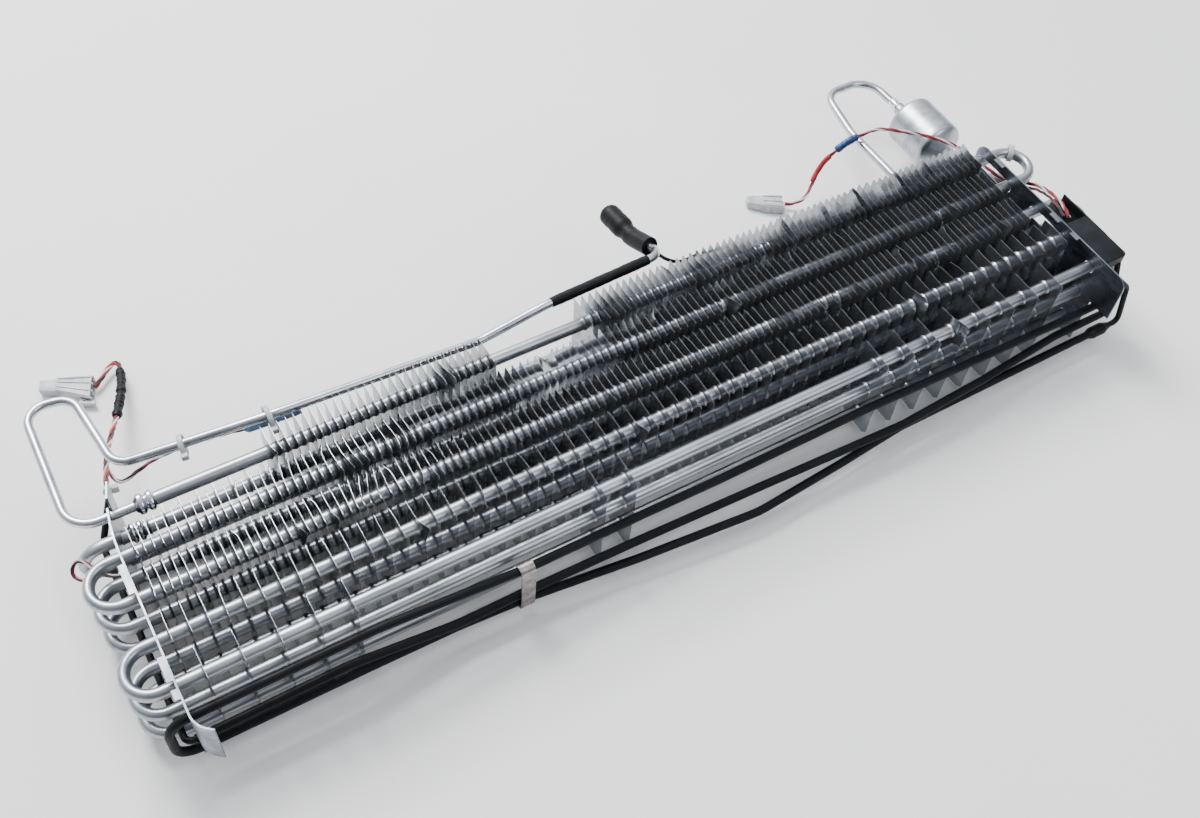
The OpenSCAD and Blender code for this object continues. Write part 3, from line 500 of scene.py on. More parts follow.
harness_plug_shape = narrowed(joined([
    plug(23, 18, 7.4, 3, ([-33, -9, 1], [-21, 7, 7]), ([-8, -12.5, 2], [2, -9.5, 5])),
    block([-8, -10, 2], [-4, -8, 5], 0.5, 0.2)] + [
    block([-22, y - 0.5, 6.8], [-2, y + 0.5, 8.0], 0.4, 0.2) for y in (-7.5, -3, 3, 7.5)]), -5, -26, 0.5)
harness_plug = piece(
    "harness_plug", [(placed(harness_plug_shape, [24, 191.5, 0], -22), natural_nylon)],
    ["harness_connector"])
fuse_plug_shape = narrowed(joined([
    plug(16, 13, 7.4, 2, ([-27, -6, 1], [-15, 6, 7]), ([-12, 6, 2], [-3, 8, 5]))] + [
    block([-15, y - 0.5, 6.8], [-2, y + 0.5, 8.0], 0.4, 0.2) for y in (-5, 0, 5)]), -8, -27, 0.4)
fuse_plug = piece(
    "fuse_plug", [(placed(fuse_plug_shape, [516, 126.5, 0], -26), natural_nylon)],
    ["fuse_connector"])

# %% Tape and sleeves
WOUND_STEP = 0.8


def wound(corners, diameter, turns_mm, step=0.22):
    """Tape round a bundle: a tube whose radius steps up at each turn and is a little lumpy,
    r = d/2 - step ((s / turns) mod 1) - step (1 + sin(s / 1.9) sin(s / 0.8 + 1))."""
    path = spaced(rounded_path(corners), WOUND_STEP)
    along = np.arange(len(path)) * WOUND_STEP
    lumps = 1 + np.sin(along / 1.9) * np.sin(along / 0.8 + 1)
    radius = diameter / 2 - step * ((along / turns_mm) % 1) - step * lumps
    radius[[0, -1]] -= 0.5
    return tube(path, radius, 20)


harness_wrap_path = [[29, 150, 22, 0], [37, 171, 14.5, 40], [42, 188, 9.5, 40], [43, 196, 8, 0]]
harness_wrap = piece(
    "harness_wrap", [(wound(harness_wrap_path, 7, 13, 0.5), black_rubber)], ["harness_tape"])
sleeving_path = [[540, 127, 16, 0], [545, 130, 20, 10], [551, 132, 26, 20], [556, 131.3, 31.6, 0]]
fuse_sleeving = piece(
    "fuse_sleeving", [(wound(sleeving_path, 4.2, 2, 0.12), red_sleeving)], ["fuse_sleeve"])
fuse_wrap_path = [[560, 131, 35.5, 0], [568, 130, 41.2, 20], [576, 129.2, 43.8, 0]]
fuse_wrap = piece("fuse_wrap", [(wound(fuse_wrap_path, 6, 6), blue_tape)], ["fuse_tape"])

# %% Cords
def free_cord(name, node, route, diameter, strand, colours):
    """A bundle along its route. It prints the length that it measures."""
    offset = (diameter - strand) / 2
    path, strands = bundle(route, strand, offset, len(colours))
    made = piece(name, list(zip(strands, colours)), [node])
    print(f"{name}: {length_of(path) * 1000:.0f} mm long")
    return made


free_cord("harness_strands", "harness_wires", harness_route, 3.4, 1.5,
          [bright_red_pvc, dark_pvc, red_pvc, pale_pvc])
free_cord("sensor_strands", "sensor_wires", sensor_route, 2.6, 1.25,
          [red_pvc, dark_pvc, pale_pvc])
free_cord("loop_strands", "left_wire_loop", loop_route, 2.4, 1.15,
          [red_pvc, dark_pvc, pale_pvc])
free_cord("fuse_strands", "fuse_wires", fuse_route, 2.8, 1.35,
          [red_pvc, pale_pvc, red_pvc])
free_cord("box_strands", "box_wires", box_route, 2.2, 1.05,
          [dark_pvc, red_pvc, dark_pvc])

# %% [markdown]
# ## Coil tube
# One tube runs back and forth in each layer. A bevelled curve would keep it perfectly round. Where the
# real tube was bent over a former it is a little flatter, so this one is a circle carried along a path of
# straights and half turns, and squeezed in the turns.

# %% Coil geometry in millimetres
# SPAN is the length between the end plates. BACK_Z is the height of the lowest tubes.
SPAN, TUBE_D, ROW_PITCH, LAYER_PITCH, BACK_Z = 626, 8, 28, 24, 13
# The tubes run on this far past the plates before they turn, and the inlet's joint and ring sit here.
LEFT_LEG, RIGHT_LEG, JOINT_X, RING_X = 8, 14, 22.7, 13
BEND_R, CROSS_R = ROW_PITCH / 2, LAYER_PITCH / 2
LEFT_X, RIGHT_X = -LEFT_LEG, SPAN + RIGHT_LEG


def row_y(row):
    """Middle of a row along Y, with row 3 at 0."""
    return (3 - row) * ROW_PITCH


def layer_z(layer):
    """Height of a layer's tubes: 1 is the front layer and 3 lies lowest."""
    return BACK_Z + (3 - layer) * LAYER_PITCH


def serpentine(layer, rows=(1, 2, 3, 4, 5)):
    """Corners of one layer: each row's end, then the next row's start, joined by a half turn."""
    corners = []
    for row in rows[:-1]:
        x = RIGHT_X + BEND_R if row % 2 else LEFT_X - BEND_R
        corners += [[x, row_y(row), layer_z(layer), BEND_R], [x, row_y(row + 1), layer_z(layer), BEND_R]]
    return corners


def coil(corners):
    """The coil's tube round these corners, 16% flatter in its bends."""
    return tube(spaced(rounded_path(corners, 6), 3.0), TUBE_D / 2, 24, flattened=0.16)


print("rows at y", [row_y(row) for row in range(1, 6)], "layers at z", [layer_z(k) for k in (1, 2, 3)])

# %% Coil pieces
back_end, row_5 = SPAN + 6, row_y(5)
front_corners = [[JOINT_X, row_y(1), layer_z(1), 0]] + serpentine(1) + [
    [RIGHT_X + CROSS_R, row_5, layer_z(1), CROSS_R], [RIGHT_X + CROSS_R, row_5, layer_z(2), CROSS_R],
    [RIGHT_X, row_5, layer_z(2), 0]]
middle_corners = [[RING_X, row_y(1), layer_z(2), 0]] + serpentine(2) + [[RIGHT_X, row_5, layer_z(2), 0]]
back_corners = [
    [RING_X, row_y(1), layer_z(2), 0], [LEFT_X - CROSS_R, row_y(1), layer_z(2), CROSS_R],
    [LEFT_X - CROSS_R, row_y(1), layer_z(3), CROSS_R]] + serpentine(3) + [[back_end, row_5, layer_z(3), 0]]
riser_x, riser_z = back_end + CROSS_R, layer_z(3) + CROSS_R
can_x, can_z, can_y = SPAN + 4, layer_z(2) - 1, 86
riser_corners = [
    [back_end, row_5, layer_z(3), 0], [riser_x, row_5, layer_z(3), CROSS_R],
    [riser_x, row_5 + CROSS_R, riser_z, CROSS_R], [riser_x, 63, riser_z, 10],
    [can_x, 77, can_z, 10], [can_x, can_y, can_z, 0]]
for name, node, corners in (
    ("front_coil", "front_layer_tube", front_corners), ("middle_coil", "middle_layer_tube", middle_corners),
    ("back_coil", "back_layer_tube", back_corners), ("riser", "riser_tube", riser_corners),
):
    piece(name, [(coil(corners), drawn_aluminium)], [node])

# %% [markdown]
# ## Fins
# Each fin is a strip of foil with cut corners and a collar round every tube. Real fins are soft: their
# free edges wave, corners get bent in handling, and a few are crushed. Making one fin and copying it
# would look dead, so one formula makes all fins of a block at once and bends each of them a little.

# %% Fin values in millimetres
FIN_W, FIN_T, FRONT_CUT, BACK_CUT = 24, 0.16, 0.8, 3.0
FIN_COLUMNS = np.array([-1, -0.8, -0.45, 0, 0.45, 0.8, 1])  # shares of half the width
# What handling does to every fin, and to the one corner in ten that was knocked
LEAN, WAVE, CORNER_BEND, CORNER_REACH = 0.3, 0.12, 0.25, 5
KNOCKED_SHARE, KNOCK_ROW_1, KNOCK_ELSEWHERE = 0.1, 1.0, 2.2
# How far down from the front edge a dent and a pressed patch reach
DENT_DEPTH, PRESS_DEPTH = 16, 20
PRESS_FROM, PRESS_WIDTH = -4, 16  # a patch starts here, across the row, and is at its full lean that much on
# A fin bends by no more than this share of the gap to the next one, and never by more than MOST_BEND
GAP_SHARE, MOST_BEND = 0.84, 7.5
COLLAR_SIDES, COLLAR_L = 14, 1.4
COLLAR_PROFILE = np.array([[0.1, 4.9], [-0.5, 4.4], [-COLLAR_L, 4.3], [-COLLAR_L, 4.05]])
# Places where fins are crushed: x, y, reach, push in millimetres
DENTS = np.array([
    [131, 14, 9, 3.2], [133, -8, 8, -3.0], [204, 47, 7, 3.6], [387, 46, 8, 3.0], [495, -33, 6, 4.5],
    [507, -64, 6, 4.0], [534, -12, 8, -3.4], [479, 66, 14, 3.4], [500, 67, 12, 8], [539, 64, 10, 8],
    [318, 44, 12, 2.6], [262, 18, 8, -2.2], [160, 24, 10, 2.0], [95, 40, 8, 2.2]])
# Row 1 was pressed over in patches along its far edge: x, lean in millimetres
PATCHES = np.array([
    [400, 0], [432, 2.5], [452, 3.8], [453, 0.2], [486, 3.9], [487, 0.4], [512, 3.6], [513, -0.5], [548, 3.9],
    [549, 0.3], [575, 3.2], [576, 0.6], [612, 3.4]])
print("dents:", len(DENTS), "patches:", len(PATCHES))

# %% Fin formula
def fins(xs, row, top_layer, seed):
    """Closed foil strips. Point (k, side, i, j) is
    x = x_k + side · t + bend, y = y_row + half(z_i) u_j, z = z_i - bend² / 16.
    bend = lean_k f² + wave_k g² sin(z / 9 + φ_k) + corners + dents + patches, where f grows from the front
    tube to the front edge and g from the tubes to the side edges. A corner's push fades as
    exp(-(distance / reach)²), and a dent's does the same across the fins."""
    rng = np.random.default_rng(seed)
    xs = np.asarray(xs, float)
    low, high = layer_z(3) - LAYER_PITCH / 2, layer_z(top_layer) + LAYER_PITCH / 2
    levels = [low, low + BACK_CUT, high - 4, high - FRONT_CUT, high]
    for layer in range(3, top_layer - 1, -1):
        levels += [layer_z(layer)] + [layer_z(layer) + LAYER_PITCH / 2] * (layer > top_layer)
    z = np.array(sorted(set(levels)))
    half = FIN_W / 2 - np.maximum(0, np.maximum(BACK_CUT - (z - low), FRONT_CUT - (high - z)))
    y = half[:, None] * FIN_COLUMNS[None]
    zz = np.broadcast_to(z[:, None], y.shape)
    count = len(xs)
    lean = np.convolve(rng.normal(0, 1, count + 4), [0.2, 0.5, 0.8, 0.5, 0.2], "valid")[:count] * LEAN
    wave, phase = rng.normal(0, WAVE, count), rng.uniform(0, 2 * np.pi, count)
    f = np.clip((zz - (high - LAYER_PITCH / 2)) / (LAYER_PITCH / 2), 0, 1)
    g = np.abs(y) / (FIN_W / 2)
    bend = lean[:, None, None] * f**2 + wave[:, None, None] * g**2 * np.sin(zz / 9 + phase[:, None, None])
    push = rng.normal(0, CORNER_BEND, (count, 4))
    knock = rng.normal(0, KNOCK_ROW_1 if row == 1 else KNOCK_ELSEWHERE, (count, 4))
    push = push + knock * (rng.random((count, 4)) < KNOCKED_SHARE)
    for k, (side, end) in enumerate([(-1, high), (1, high), (-1, low), (1, low)]):
        away = np.hypot(y - side * FIN_W / 2, zz - end)
        bend = bend + push[:, k, None, None] * np.exp(-((away / CORNER_REACH) ** 2))
    for x, dent_y, reach, deep in DENTS:
        near = np.exp(-((xs[:, None, None] - x) ** 2 + (row_y(row) + y - dent_y) ** 2) / reach**2)
        bend = bend + deep * near * np.clip((zz - high + DENT_DEPTH) / DENT_DEPTH, 0, 1) ** 1.5
    if row == 1:
        far = np.clip((y - PRESS_FROM) / PRESS_WIDTH, 0, 1) ** 1.5
        far = far * np.clip((zz - high + PRESS_DEPTH) / PRESS_DEPTH, 0, 1)
        bend = bend + np.interp(xs, *PATCHES.T)[:, None, None] * far
    room = min(GAP_SHARE * np.diff(xs).min(), MOST_BEND)
    bend = np.clip(bend, -room, room)
    sides = np.stack([xs[:, None, None] + bend, xs[:, None, None] + bend + FIN_T], 1)
    points = np.stack([
        sides, np.broadcast_to(row_y(row) + y, sides.shape),
        np.clip(np.broadcast_to(zz, sides.shape) - (bend**2)[:, None] / 16, low, high)], -1)
    m, n = y.shape
    back_face = grid_faces(m, n, round_columns=False)
    rim = np.concatenate([np.arange(n), np.arange(1, m) * n + n - 1, (m - 1) * n + np.arange(n - 1)[::-1],
                          np.arange(1, m - 1)[::-1] * n])
    rim_next = np.roll(rim, -1)
    quads = np.concatenate([back_face[:, ::-1], back_face + m * n,
                            np.stack([rim, rim_next, rim_next + m * n, rim + m * n], 1)])
    quads = (quads[None] + (np.arange(count) * 2 * m * n)[:, None, None]).reshape(-1, 4)
    return points.reshape(-1, 3), [quads]


print("quads of two fins:", len(fins([0, 5], 2, 1, 0)[1][0]))

# %% Collar formula
def collars(xs, row, top_layer):
    """Flared rings on the fins' -X side: P(k, h, i, a) = (x_k + p_i, y_row + r_i cos a, z_h + r_i sin a),
    where (p, r) is the collar's closed profile."""
    a = np.linspace(0, 2 * np.pi, COLLAR_SIDES, endpoint=False)
    heights = np.array([layer_z(layer) for layer in range(top_layer, 4)], float)
    p, r = COLLAR_PROFILE[:, 0], COLLAR_PROFILE[:, 1]
    shape = (len(xs), len(heights), len(p), len(a))
    x = np.asarray(xs, float)[:, None, None, None] + p[None, None, :, None]
    y = row_y(row) + r[:, None] * np.cos(a)
    z = heights[:, None, None] + r[:, None] * np.sin(a)
    points = np.stack([np.broadcast_to(x, shape), np.broadcast_to(y, shape), np.broadcast_to(z, shape)], -1)
    i, j = np.meshgrid(np.arange(len(p)), np.arange(len(a)), indexing="ij")
    i_next, j_next = (i + 1) % len(p), (j + 1) % len(a)
    ring = np.stack([i * len(a) + j, i_next * len(a) + j, i_next * len(a) + j_next, i * len(a) + j_next], -1)
    ring = ring.reshape(-1, 4)
    starts = np.arange(len(xs) * len(heights)) * len(p) * len(a)
    return points.reshape(-1, 3), [(ring[None] + starts[:, None, None]).reshape(-1, 4)]


print("quads of one fin's collars:", len(collars([0], 2, 1)[1][0]))

# %% Fin blocks
FIN_BLOCKS = [
    ("row_1_inlet_fins", 1, 1, np.arange(95, 236, 5)), ("row_1_lower_fins", 1, 2, np.arange(20, 91, 10)),
    ("row_1_main_fins", 1, 1, np.arange(302, 613, 5)), ("row_2_fins", 2, 1, np.arange(8, 609, 5)),
    ("row_3_fins", 3, 1, np.arange(8, 609, 5)), ("row_4_fins", 4, 1, np.arange(7, 618, 10)),
    ("row_5_left_fins", 5, 1, np.arange(15, 96, 20)), ("row_5_middle_fins", 5, 1, np.arange(246, 267, 20)),
    ("row_5_right_fins", 5, 1, np.arange(446, 587, 20))]
for seed, (node, row, top_layer, xs) in enumerate(FIN_BLOCKS):
    foil = weathered_foil if node in ("row_1_inlet_fins", "row_1_main_fins") else fin_foil
    piece(node.replace("fins", "foil"), [
        (fins(xs, row, top_layer, seed), foil), (collars(xs, row, top_layer), drawn_aluminium)],
        [node], sharp=50)

# %% [markdown]
# ## End plates
# The plates hold the tubes and are flat or gently bent sheet. A new mesh could round their edges, but at
# this thickness that can't be seen, and the CAD solids have every hole. So they stay, and only get the
# finish of rolled sheet.

# %% Plates
for node in ("left_end_plate", "right_end_plate"):
    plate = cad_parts[node]
    plate.data.materials.clear()
    plate.data.materials.append(rolled_sheet)
    print(node, "keeps its CAD mesh:", len(plate.data.polygons), "faces")

# %% [markdown]
# ## Inlet pipe, joints and sleeves
# The thin inlet pipe loops out past the left plate and comes back along the fins. Its joint is swaged:
# a ring is driven over the tube's end until the metal flows, so it is lumpy and bright. It could be
# sculpted. A turned profile whose radius also waves round the axis is enough at this size.

# %% Inlet
FIN_EDGE, FIN_TOP, INLET_D, SHRINK_R = 68, 73, 5.6, 3.5
pipe_y, shrink_y = FIN_EDGE + INLET_D / 2 + 0.2, FIN_EDGE + SHRINK_R + 1
sleeve_mouth = np.array([371, shrink_y + 17, layer_z(1) + 4.0])
sleeve_bend = np.array([369, shrink_y + 35, layer_z(1) - 3.0])
sleeve_tip = np.array([367, shrink_y + 64, layer_z(1) - 5.0])
approach = sleeve_mouth - 7 * unit(sleeve_bend - sleeve_mouth)
shrink_from = np.array([284, shrink_y, layer_z(1) + 10.0])
shrink_to = np.array([366, shrink_y + 3, layer_z(1) + 11.0])
inlet_corners = [
    [JOINT_X, row_y(1), layer_z(1), 0], [-19, row_y(1), layer_z(1), 16], [-18, row_y(1) + 92, layer_z(1), 12],
    [9.5, row_y(1) + 88, layer_z(1), 12], [16, row_y(1) + 31, layer_z(1), 13], [105, pipe_y, FIN_TOP, 40],
    [238, pipe_y, layer_z(1) + 3, 40], [*shrink_from, 40], [*shrink_to, 8], [*approach, 8], [*sleeve_mouth, 0]]
piece("inlet_loop", [(tube(spaced(rounded_path(inlet_corners, 5), 2.5), INLET_D / 2, 24, 0.08), bent_pipe)],
      ["inlet_pipe"])
along_shrink = unit(shrink_to - shrink_from)
shrink_start, shrink_end = shrink_from + 4 * along_shrink, shrink_to - 6 * along_shrink
shrink_length = np.linalg.norm(shrink_end - shrink_start)
shrink_h = np.linspace(0, shrink_length, 60)
# Heat-shrunk tube is a little uneven along the pipe inside, and pulls in at its end
shrink_waves = 0.12 * (1 + np.sin(shrink_h / 3.1) * np.sin(shrink_h / 1.7))
shrink_r = SHRINK_R - shrink_waves - 0.35 * np.exp(-shrink_h / 1.2)
piece("shrink_sleeve", [(turned(np.c_[shrink_h, shrink_r], shrink_start, shrink_end, 24), black_rubber)],
      ["inlet_shrink_sleeve"])

# %% End sleeve
def bead(h, at, width, height, power=4):
    """A raised ring on a profile, or a groove where it is taken away: height exp(-((h - at) / width)^power)."""
    return height * np.exp(-((h - at) / width) ** power)


sleeve_line = spaced(rounded_path([[*sleeve_mouth, 0], [*sleeve_bend, 20], [*sleeve_tip, 0]], 4), 1.5)
sleeve_s = np.linspace(0, 1, len(sleeve_line))
# Half of the sleeve is wider. Its tip is drawn in, and two shallow grooves go round it.
sleeve_r = 6.35 + 1.1 * np.clip((sleeve_s - 0.55) / 0.06, 0, 1)
sleeve_r = sleeve_r - 2.0 * np.clip((sleeve_s - 0.93) / 0.07, 0, 1) ** 2
sleeve_r = sleeve_r - bead(sleeve_s, 0.5, 0.03, 0.5, 2) - bead(sleeve_s, 0.78, 0.02, 0.25, 2)
sleeve_lead = smooth_path([[372, 90, 63], [375, 84, 61], [378, 78, 60.5], [387, 76, 56], [402, 78, 53]], 1.5)
piece("end_cap_sleeve", [
    (tube(sleeve_line, sleeve_r, 32), black_rubber), (tube(sleeve_lead, 1.2, 12), black_rubber)],
    ["end_sleeve"])

# %% Swaged joints
joint_h = np.linspace(0, 12, 40)
joint_r = 3.7 + bead(joint_h, 3.4, 2.4, 2.4) + bead(joint_h, 8.9, 2.1, 2.1)
inlet_swage = turned(np.c_[joint_h, joint_r], [JOINT_X - 6, row_y(1), layer_z(1)],
                     [JOINT_X + 6, row_y(1), layer_z(1)], 36, lobes=3, depth=0.05)
piece("inlet_swage", [(inlet_swage, swaged_aluminium)], ["inlet_joint"])
ring_h = np.linspace(0, 9, 36)
ring_r = 4.2 + bead(ring_h, 2.4, 1.5, 1.9) + bead(ring_h, 6.6, 1.5, 1.9)
ring_swage = turned(np.c_[ring_h, ring_r], [RING_X - 4.5, row_y(1), layer_z(2)],
                    [RING_X + 4.5, row_y(1), layer_z(2)], 36, lobes=3, depth=0.04)
piece("lock_ring_swage", [(ring_swage, swaged_aluminium)], ["lock_ring"])

# %% [markdown]
# ## Accumulator and outlet pipe
# The accumulator is a can spun out of tube: a cylinder that closes into a shoulder at each end. A
# cylinder primitive would have hard rims. A turned profile follows the shoulder's curve, and fine rings
# in its finish follow the spinning.

# %% Accumulator
CAN_R, CAN_L, NECK_L, SHOULDER_L = 19, 60, 4.5, 9.5
can_h = np.r_[0, 2.5, 5, np.linspace(6, 13, 10), np.linspace(14, 46, 12), np.linspace(47, 54, 10), 55, 57.5, 60]


def can_shoulder(h, neck):
    """Radius at h from an end: neck + (R - neck) sin(a)^1.15, where a grows from 0 to π / 2 along the
    shoulder."""
    a = np.clip((h - NECK_L) / SHOULDER_L, 0, 1) * np.pi / 2
    return neck + (CAN_R - neck) * np.clip(np.sin(a), 0, 1) ** 1.15


can_r = np.minimum(can_shoulder(can_h, 5.0), can_shoulder(CAN_L - can_h, 4.5))
tip_y = can_y + CAN_L
can_shape = turned(np.c_[can_h, can_r], [can_x, can_y, can_z], [can_x, tip_y, can_z], 64)
piece("accumulator_can", [(can_shape, spun_aluminium)], ["accumulator"])

# %% Outlet
OUTLET_L = 9
outlet_h = np.linspace(0, OUTLET_L, 20)
outlet_r = 3.7 + bead(outlet_h, 1.4, 1.1, 0.75, 2) - 0.4 * np.clip((outlet_h - 8) / 1, 0, 1)
outlet_swage = turned(np.c_[outlet_h, outlet_r], [can_x, tip_y, can_z], [can_x, tip_y + OUTLET_L, can_z],
                      32, lobes=3, depth=0.02)
piece("outlet_swage", [(outlet_swage, swaged_aluminium)], ["outlet_joint"])
outlet_corners = [
    [can_x, tip_y, can_z, 0], [can_x - 2, tip_y + 38, can_z, 18], [can_x - 42, tip_y + 37, can_z + 1, 14],
    [can_x - 50, tip_y - 6, can_z + 1, 40], [can_x - 49, FIN_EDGE + 5, can_z + 1, 0]]
piece("outlet_loop", [(tube(spaced(rounded_path(outlet_corners, 5), 2.5), 3, 24, 0.06), bent_pipe)],
      ["outlet_pipe"])

# %% [markdown]
# ## Defrost heater
# A resistance wire in a soft black sheath makes three runs in front of the last row. It isn't held
# tight, so it droops between its holders. A simulated cable would droop in its own way, so its path goes
# through the same soft corners as the solid and stays where the photograph shows it.

# %% Heater
heater_d, lead_d = 5.4, 4
heater_y = row_y(5) - FIN_W / 2 - heater_d / 2 - 0.8
clip_x, clip_dy = 192, -1.5  # the clip pulls the runs this far forward
clip_y = heater_y + clip_dy
back_run_z, next_run_z, front_clip_z = layer_z(3) - 2, layer_z(3) + 6, layer_z(1) - 15
SOFT = 60  # bend radius of the loose sheath
front_z, low_z = layer_z(1), layer_z(3)
# x, distance from heater_y, height, bend radius
heater_corners = [[x, heater_y + dy, z, r] for x, dy, z, r in (
    (-2, 0, low_z + 14, 0), (85, 0, low_z + 15, SOFT), (150, clip_dy, next_run_z, SOFT),
    (clip_x, clip_dy, next_run_z, SOFT), (265, -3, next_run_z, SOFT), (356, -6, next_run_z, SOFT),
    (462, -10, next_run_z, SOFT), (533, -6, next_run_z, SOFT), (SPAN - 26, 0, next_run_z, SOFT),
    (SPAN + 24, 0, next_run_z, 8), (SPAN + 24, 0, next_run_z + 16, 8),
    (SPAN - 28, 0, next_run_z + 16, SOFT), (494, 0, front_z - 22, SOFT), (436, 0, front_z - 19.5, SOFT),
    (324, 0, front_z - 20.5, SOFT), (268, 0, front_z - 19, SOFT), (clip_x, clip_dy, front_clip_z, SOFT),
    (105, 0, front_z - 7, SOFT), (-13, 0, front_z - 7, 12), (-13, 0, low_z + 3, 12),
    (95, 0, low_z + 2, SOFT), (150, 1, back_run_z, SOFT), (clip_x, clip_dy, back_run_z, SOFT),
    (265, -10, back_run_z, SOFT), (347, -17, back_run_z, SOFT), (412, -12, back_run_z, SOFT),
    (464, -7, back_run_z, SOFT), (SPAN + 2, -6, back_run_z, 0))]
heater_nodes = [f"heater_{part}" for part in ("second_run", "right_bend", "front_run", "left_bend", "back_run")]
piece("heater_runs", [(tube(spaced(rounded_path(heater_corners, 5), 3), heater_d / 2, 20), heater_pvc)],
      heater_nodes)

# %% Heater seal and leads
seal_h = np.linspace(0, 20, 30)
seal_r = np.interp(seal_h, [0, 3, 4.5, 14, 16, 20], [2.7, 3.7, 4.2, 4.2, 3.4, 2.3])
seal_at = np.array([SPAN + 2, heater_y - 6, back_run_z])
piece("heater_seal", [(turned(np.c_[seal_h, seal_r], seal_at, seal_at + [20, 0, 0], 28), black_rubber)],
      ["heater_end_seal"])
lead_start = SPAN + 22
BOX_LOW = np.array([SPAN + 0.8, row_y(5) - 10, layer_z(1) + 4.4])
left_lead = rounded_path([
    [-2, heater_y, layer_z(3) + 14, 0], [-7, heater_y, layer_z(3) + 14, 4.5], [-7, row_y(4), riser_z, 20],
    [-7, row_y(1) + 8, riser_z, 10], [6, row_y(1) + 17, layer_z(1) - 8, 0]], 6)
right_lead = rounded_path([
    [lead_start, heater_y - 6, back_run_z, 0], [lead_start + 9, heater_y - 6, back_run_z, 5],
    [lead_start + 9, heater_y, layer_z(2) + 3, 6], [SPAN + 16, BOX_LOW[1] - 2.5, layer_z(1) - 6, 5],
    [SPAN + 16, BOX_LOW[1] + 1, BOX_LOW[2], 0]], 6)
for side, lead, step in (("left", left_lead, 2), ("right", right_lead, 1)):
    piece(f"heater_lead_{side}", [(tube(spaced(lead, step), lead_d / 2, 16), black_rubber)],
          [f"heater_{side}_lead"])

# %% Heater clip
def strap(line, thick, start, width):
    """Bent strip: the closed outline of an open line (y, z) with its copy at `thick`, carried along X."""
    line = np.asarray(line, float)
    t = unit(np.gradient(line, axis=0))
    outline = np.concatenate([line, (line + thick * np.c_[t[:, 1], -t[:, 0]])[::-1]])
    ends = start[0], start[0] + width
    a, b = (np.c_[np.full(len(outline), x), outline + np.asarray(start)[1:]] for x in ends)
    return capped(np.stack([b, a]))


# Two hooks of the same radius, one round each heater run, joined by the flat strip between them
hook_r, clip_t, reach = heater_d / 2 + 0.2, 0.8, front_clip_z - back_run_z
low_a, high_a = np.radians(np.linspace(0, -180, 14)), np.radians(np.linspace(180, 0, 14))
clip_line = np.concatenate([
    (hook_r + clip_t) * np.c_[np.cos(low_a), np.sin(low_a)],
    (hook_r + clip_t) * np.c_[np.cos(high_a), np.sin(high_a)] + [0, reach]])
piece("heater_strap", [(strap(clip_line, -clip_t, [clip_x - 4.5, clip_y, back_run_z], 9), strip_steel)],
      ["heater_clip"])

# %% [markdown]
# ## Sensor, ties and terminal box
# Small moulded pieces, each seen at a few pixels. Bevel modifiers on primitives would do as well. The
# sensor is a turned body with ribs near one end, a tie is a ring with its square head, and the box is
# built of the same rounded blocks as the plugs, so that they share one helper.

# %% Sensor
sensor_at = np.array([88, pipe_y + 3.4, layer_z(1) + 4.0])
sensor_end = sensor_at + 33 * unit(np.array([33, -2.8, 1.4]))
sensor_h = np.r_[0, 0.6, 1.4, np.linspace(2, 32, 90), 32.6, 33]
sensor_ribs = 0.32 * (0.5 + 0.5 * np.cos(sensor_h * 2 * np.pi / 2.6)) * np.clip((sensor_h - 15) / 3, 0, 1)
sensor_r = np.interp(sensor_h, [0, 1.4, 2, 31.5, 32.6, 33], [1.6, 2.4, 2.98, 2.98, 2.5, 1.9]) - sensor_ribs
piece("blue_sensor", [(turned(np.c_[sensor_h, sensor_r], sensor_at, sensor_end, 28), sensor_pvc)],
      ["defrost_sensor"])

# %% Cable ties
TIE_SIDES = 40


def tie(a, b, inner_d, wide=3.0):
    """Band and head: a turned ring of closed profile, and a block beside it in the ring's own frame."""
    a, b = np.asarray(a, float), np.asarray(b, float)
    w = unit(b - a)
    u = across(w)
    r = inner_d / 2
    profile = np.array([[0, r], [0, r + 0.8], [0.3, r + 1], [wide - 0.3, r + 1], [wide, r + 0.8], [wide, r]])
    turn = np.linspace(0, 2 * np.pi, TIE_SIDES, endpoint=False)[:, None]
    spoke = np.cos(turn) * u + np.sin(turn) * np.cross(w, u)
    rings = a + profile[:, 0, None, None] * w + profile[:, 1, None, None] * spoke[None]
    here, last = np.arange(TIE_SIDES), (len(profile) - 1) * TIE_SIDES
    following = (here + 1) % TIE_SIDES
    inside = np.stack([last + here, last + following, following, here], 1)
    band = rings.reshape(-1, 3), [np.concatenate([grid_faces(len(profile), TIE_SIDES), inside])]
    head = block([r + 0.5, -2, -0.5], [r + 4, 2, wide + 0.5], 0.6, 0.3)
    head = head[0] @ np.array([u, np.cross(w, u), w]) + a, head[1]
    return joined([band, head])


pipe_tie = np.array([52, row_y(1) + 25.3, layer_z(1) + 2.2])
sensor_tie = np.array([101, pipe_y + 1, FIN_TOP - 3.6])
bend_tie = np.array([RIGHT_X + BEND_R * np.cos(np.pi / 4), 42 + BEND_R * np.sin(np.pi / 4), layer_z(1)])
bend_back = np.array([1.5, -1.5, 0]) / np.sqrt(2)
harness_tie = harness_route[0] + [0.2, 2, -0.8]
ties = [
    tie(pipe_tie, pipe_tie + [89, -16, 12], 11.6), tie(sensor_tie, sensor_tie + [1, 0, 0], 14),
    tie(bend_tie + bend_back, bend_tie + bend_back + [-1, 1, 0], TUBE_D + 0.8, 3.6),
    tie(harness_tie, harness_route[1], 3.9)]
piece("nylon_ties", [(joined(ties), natural_nylon)], ["cable_ties"])

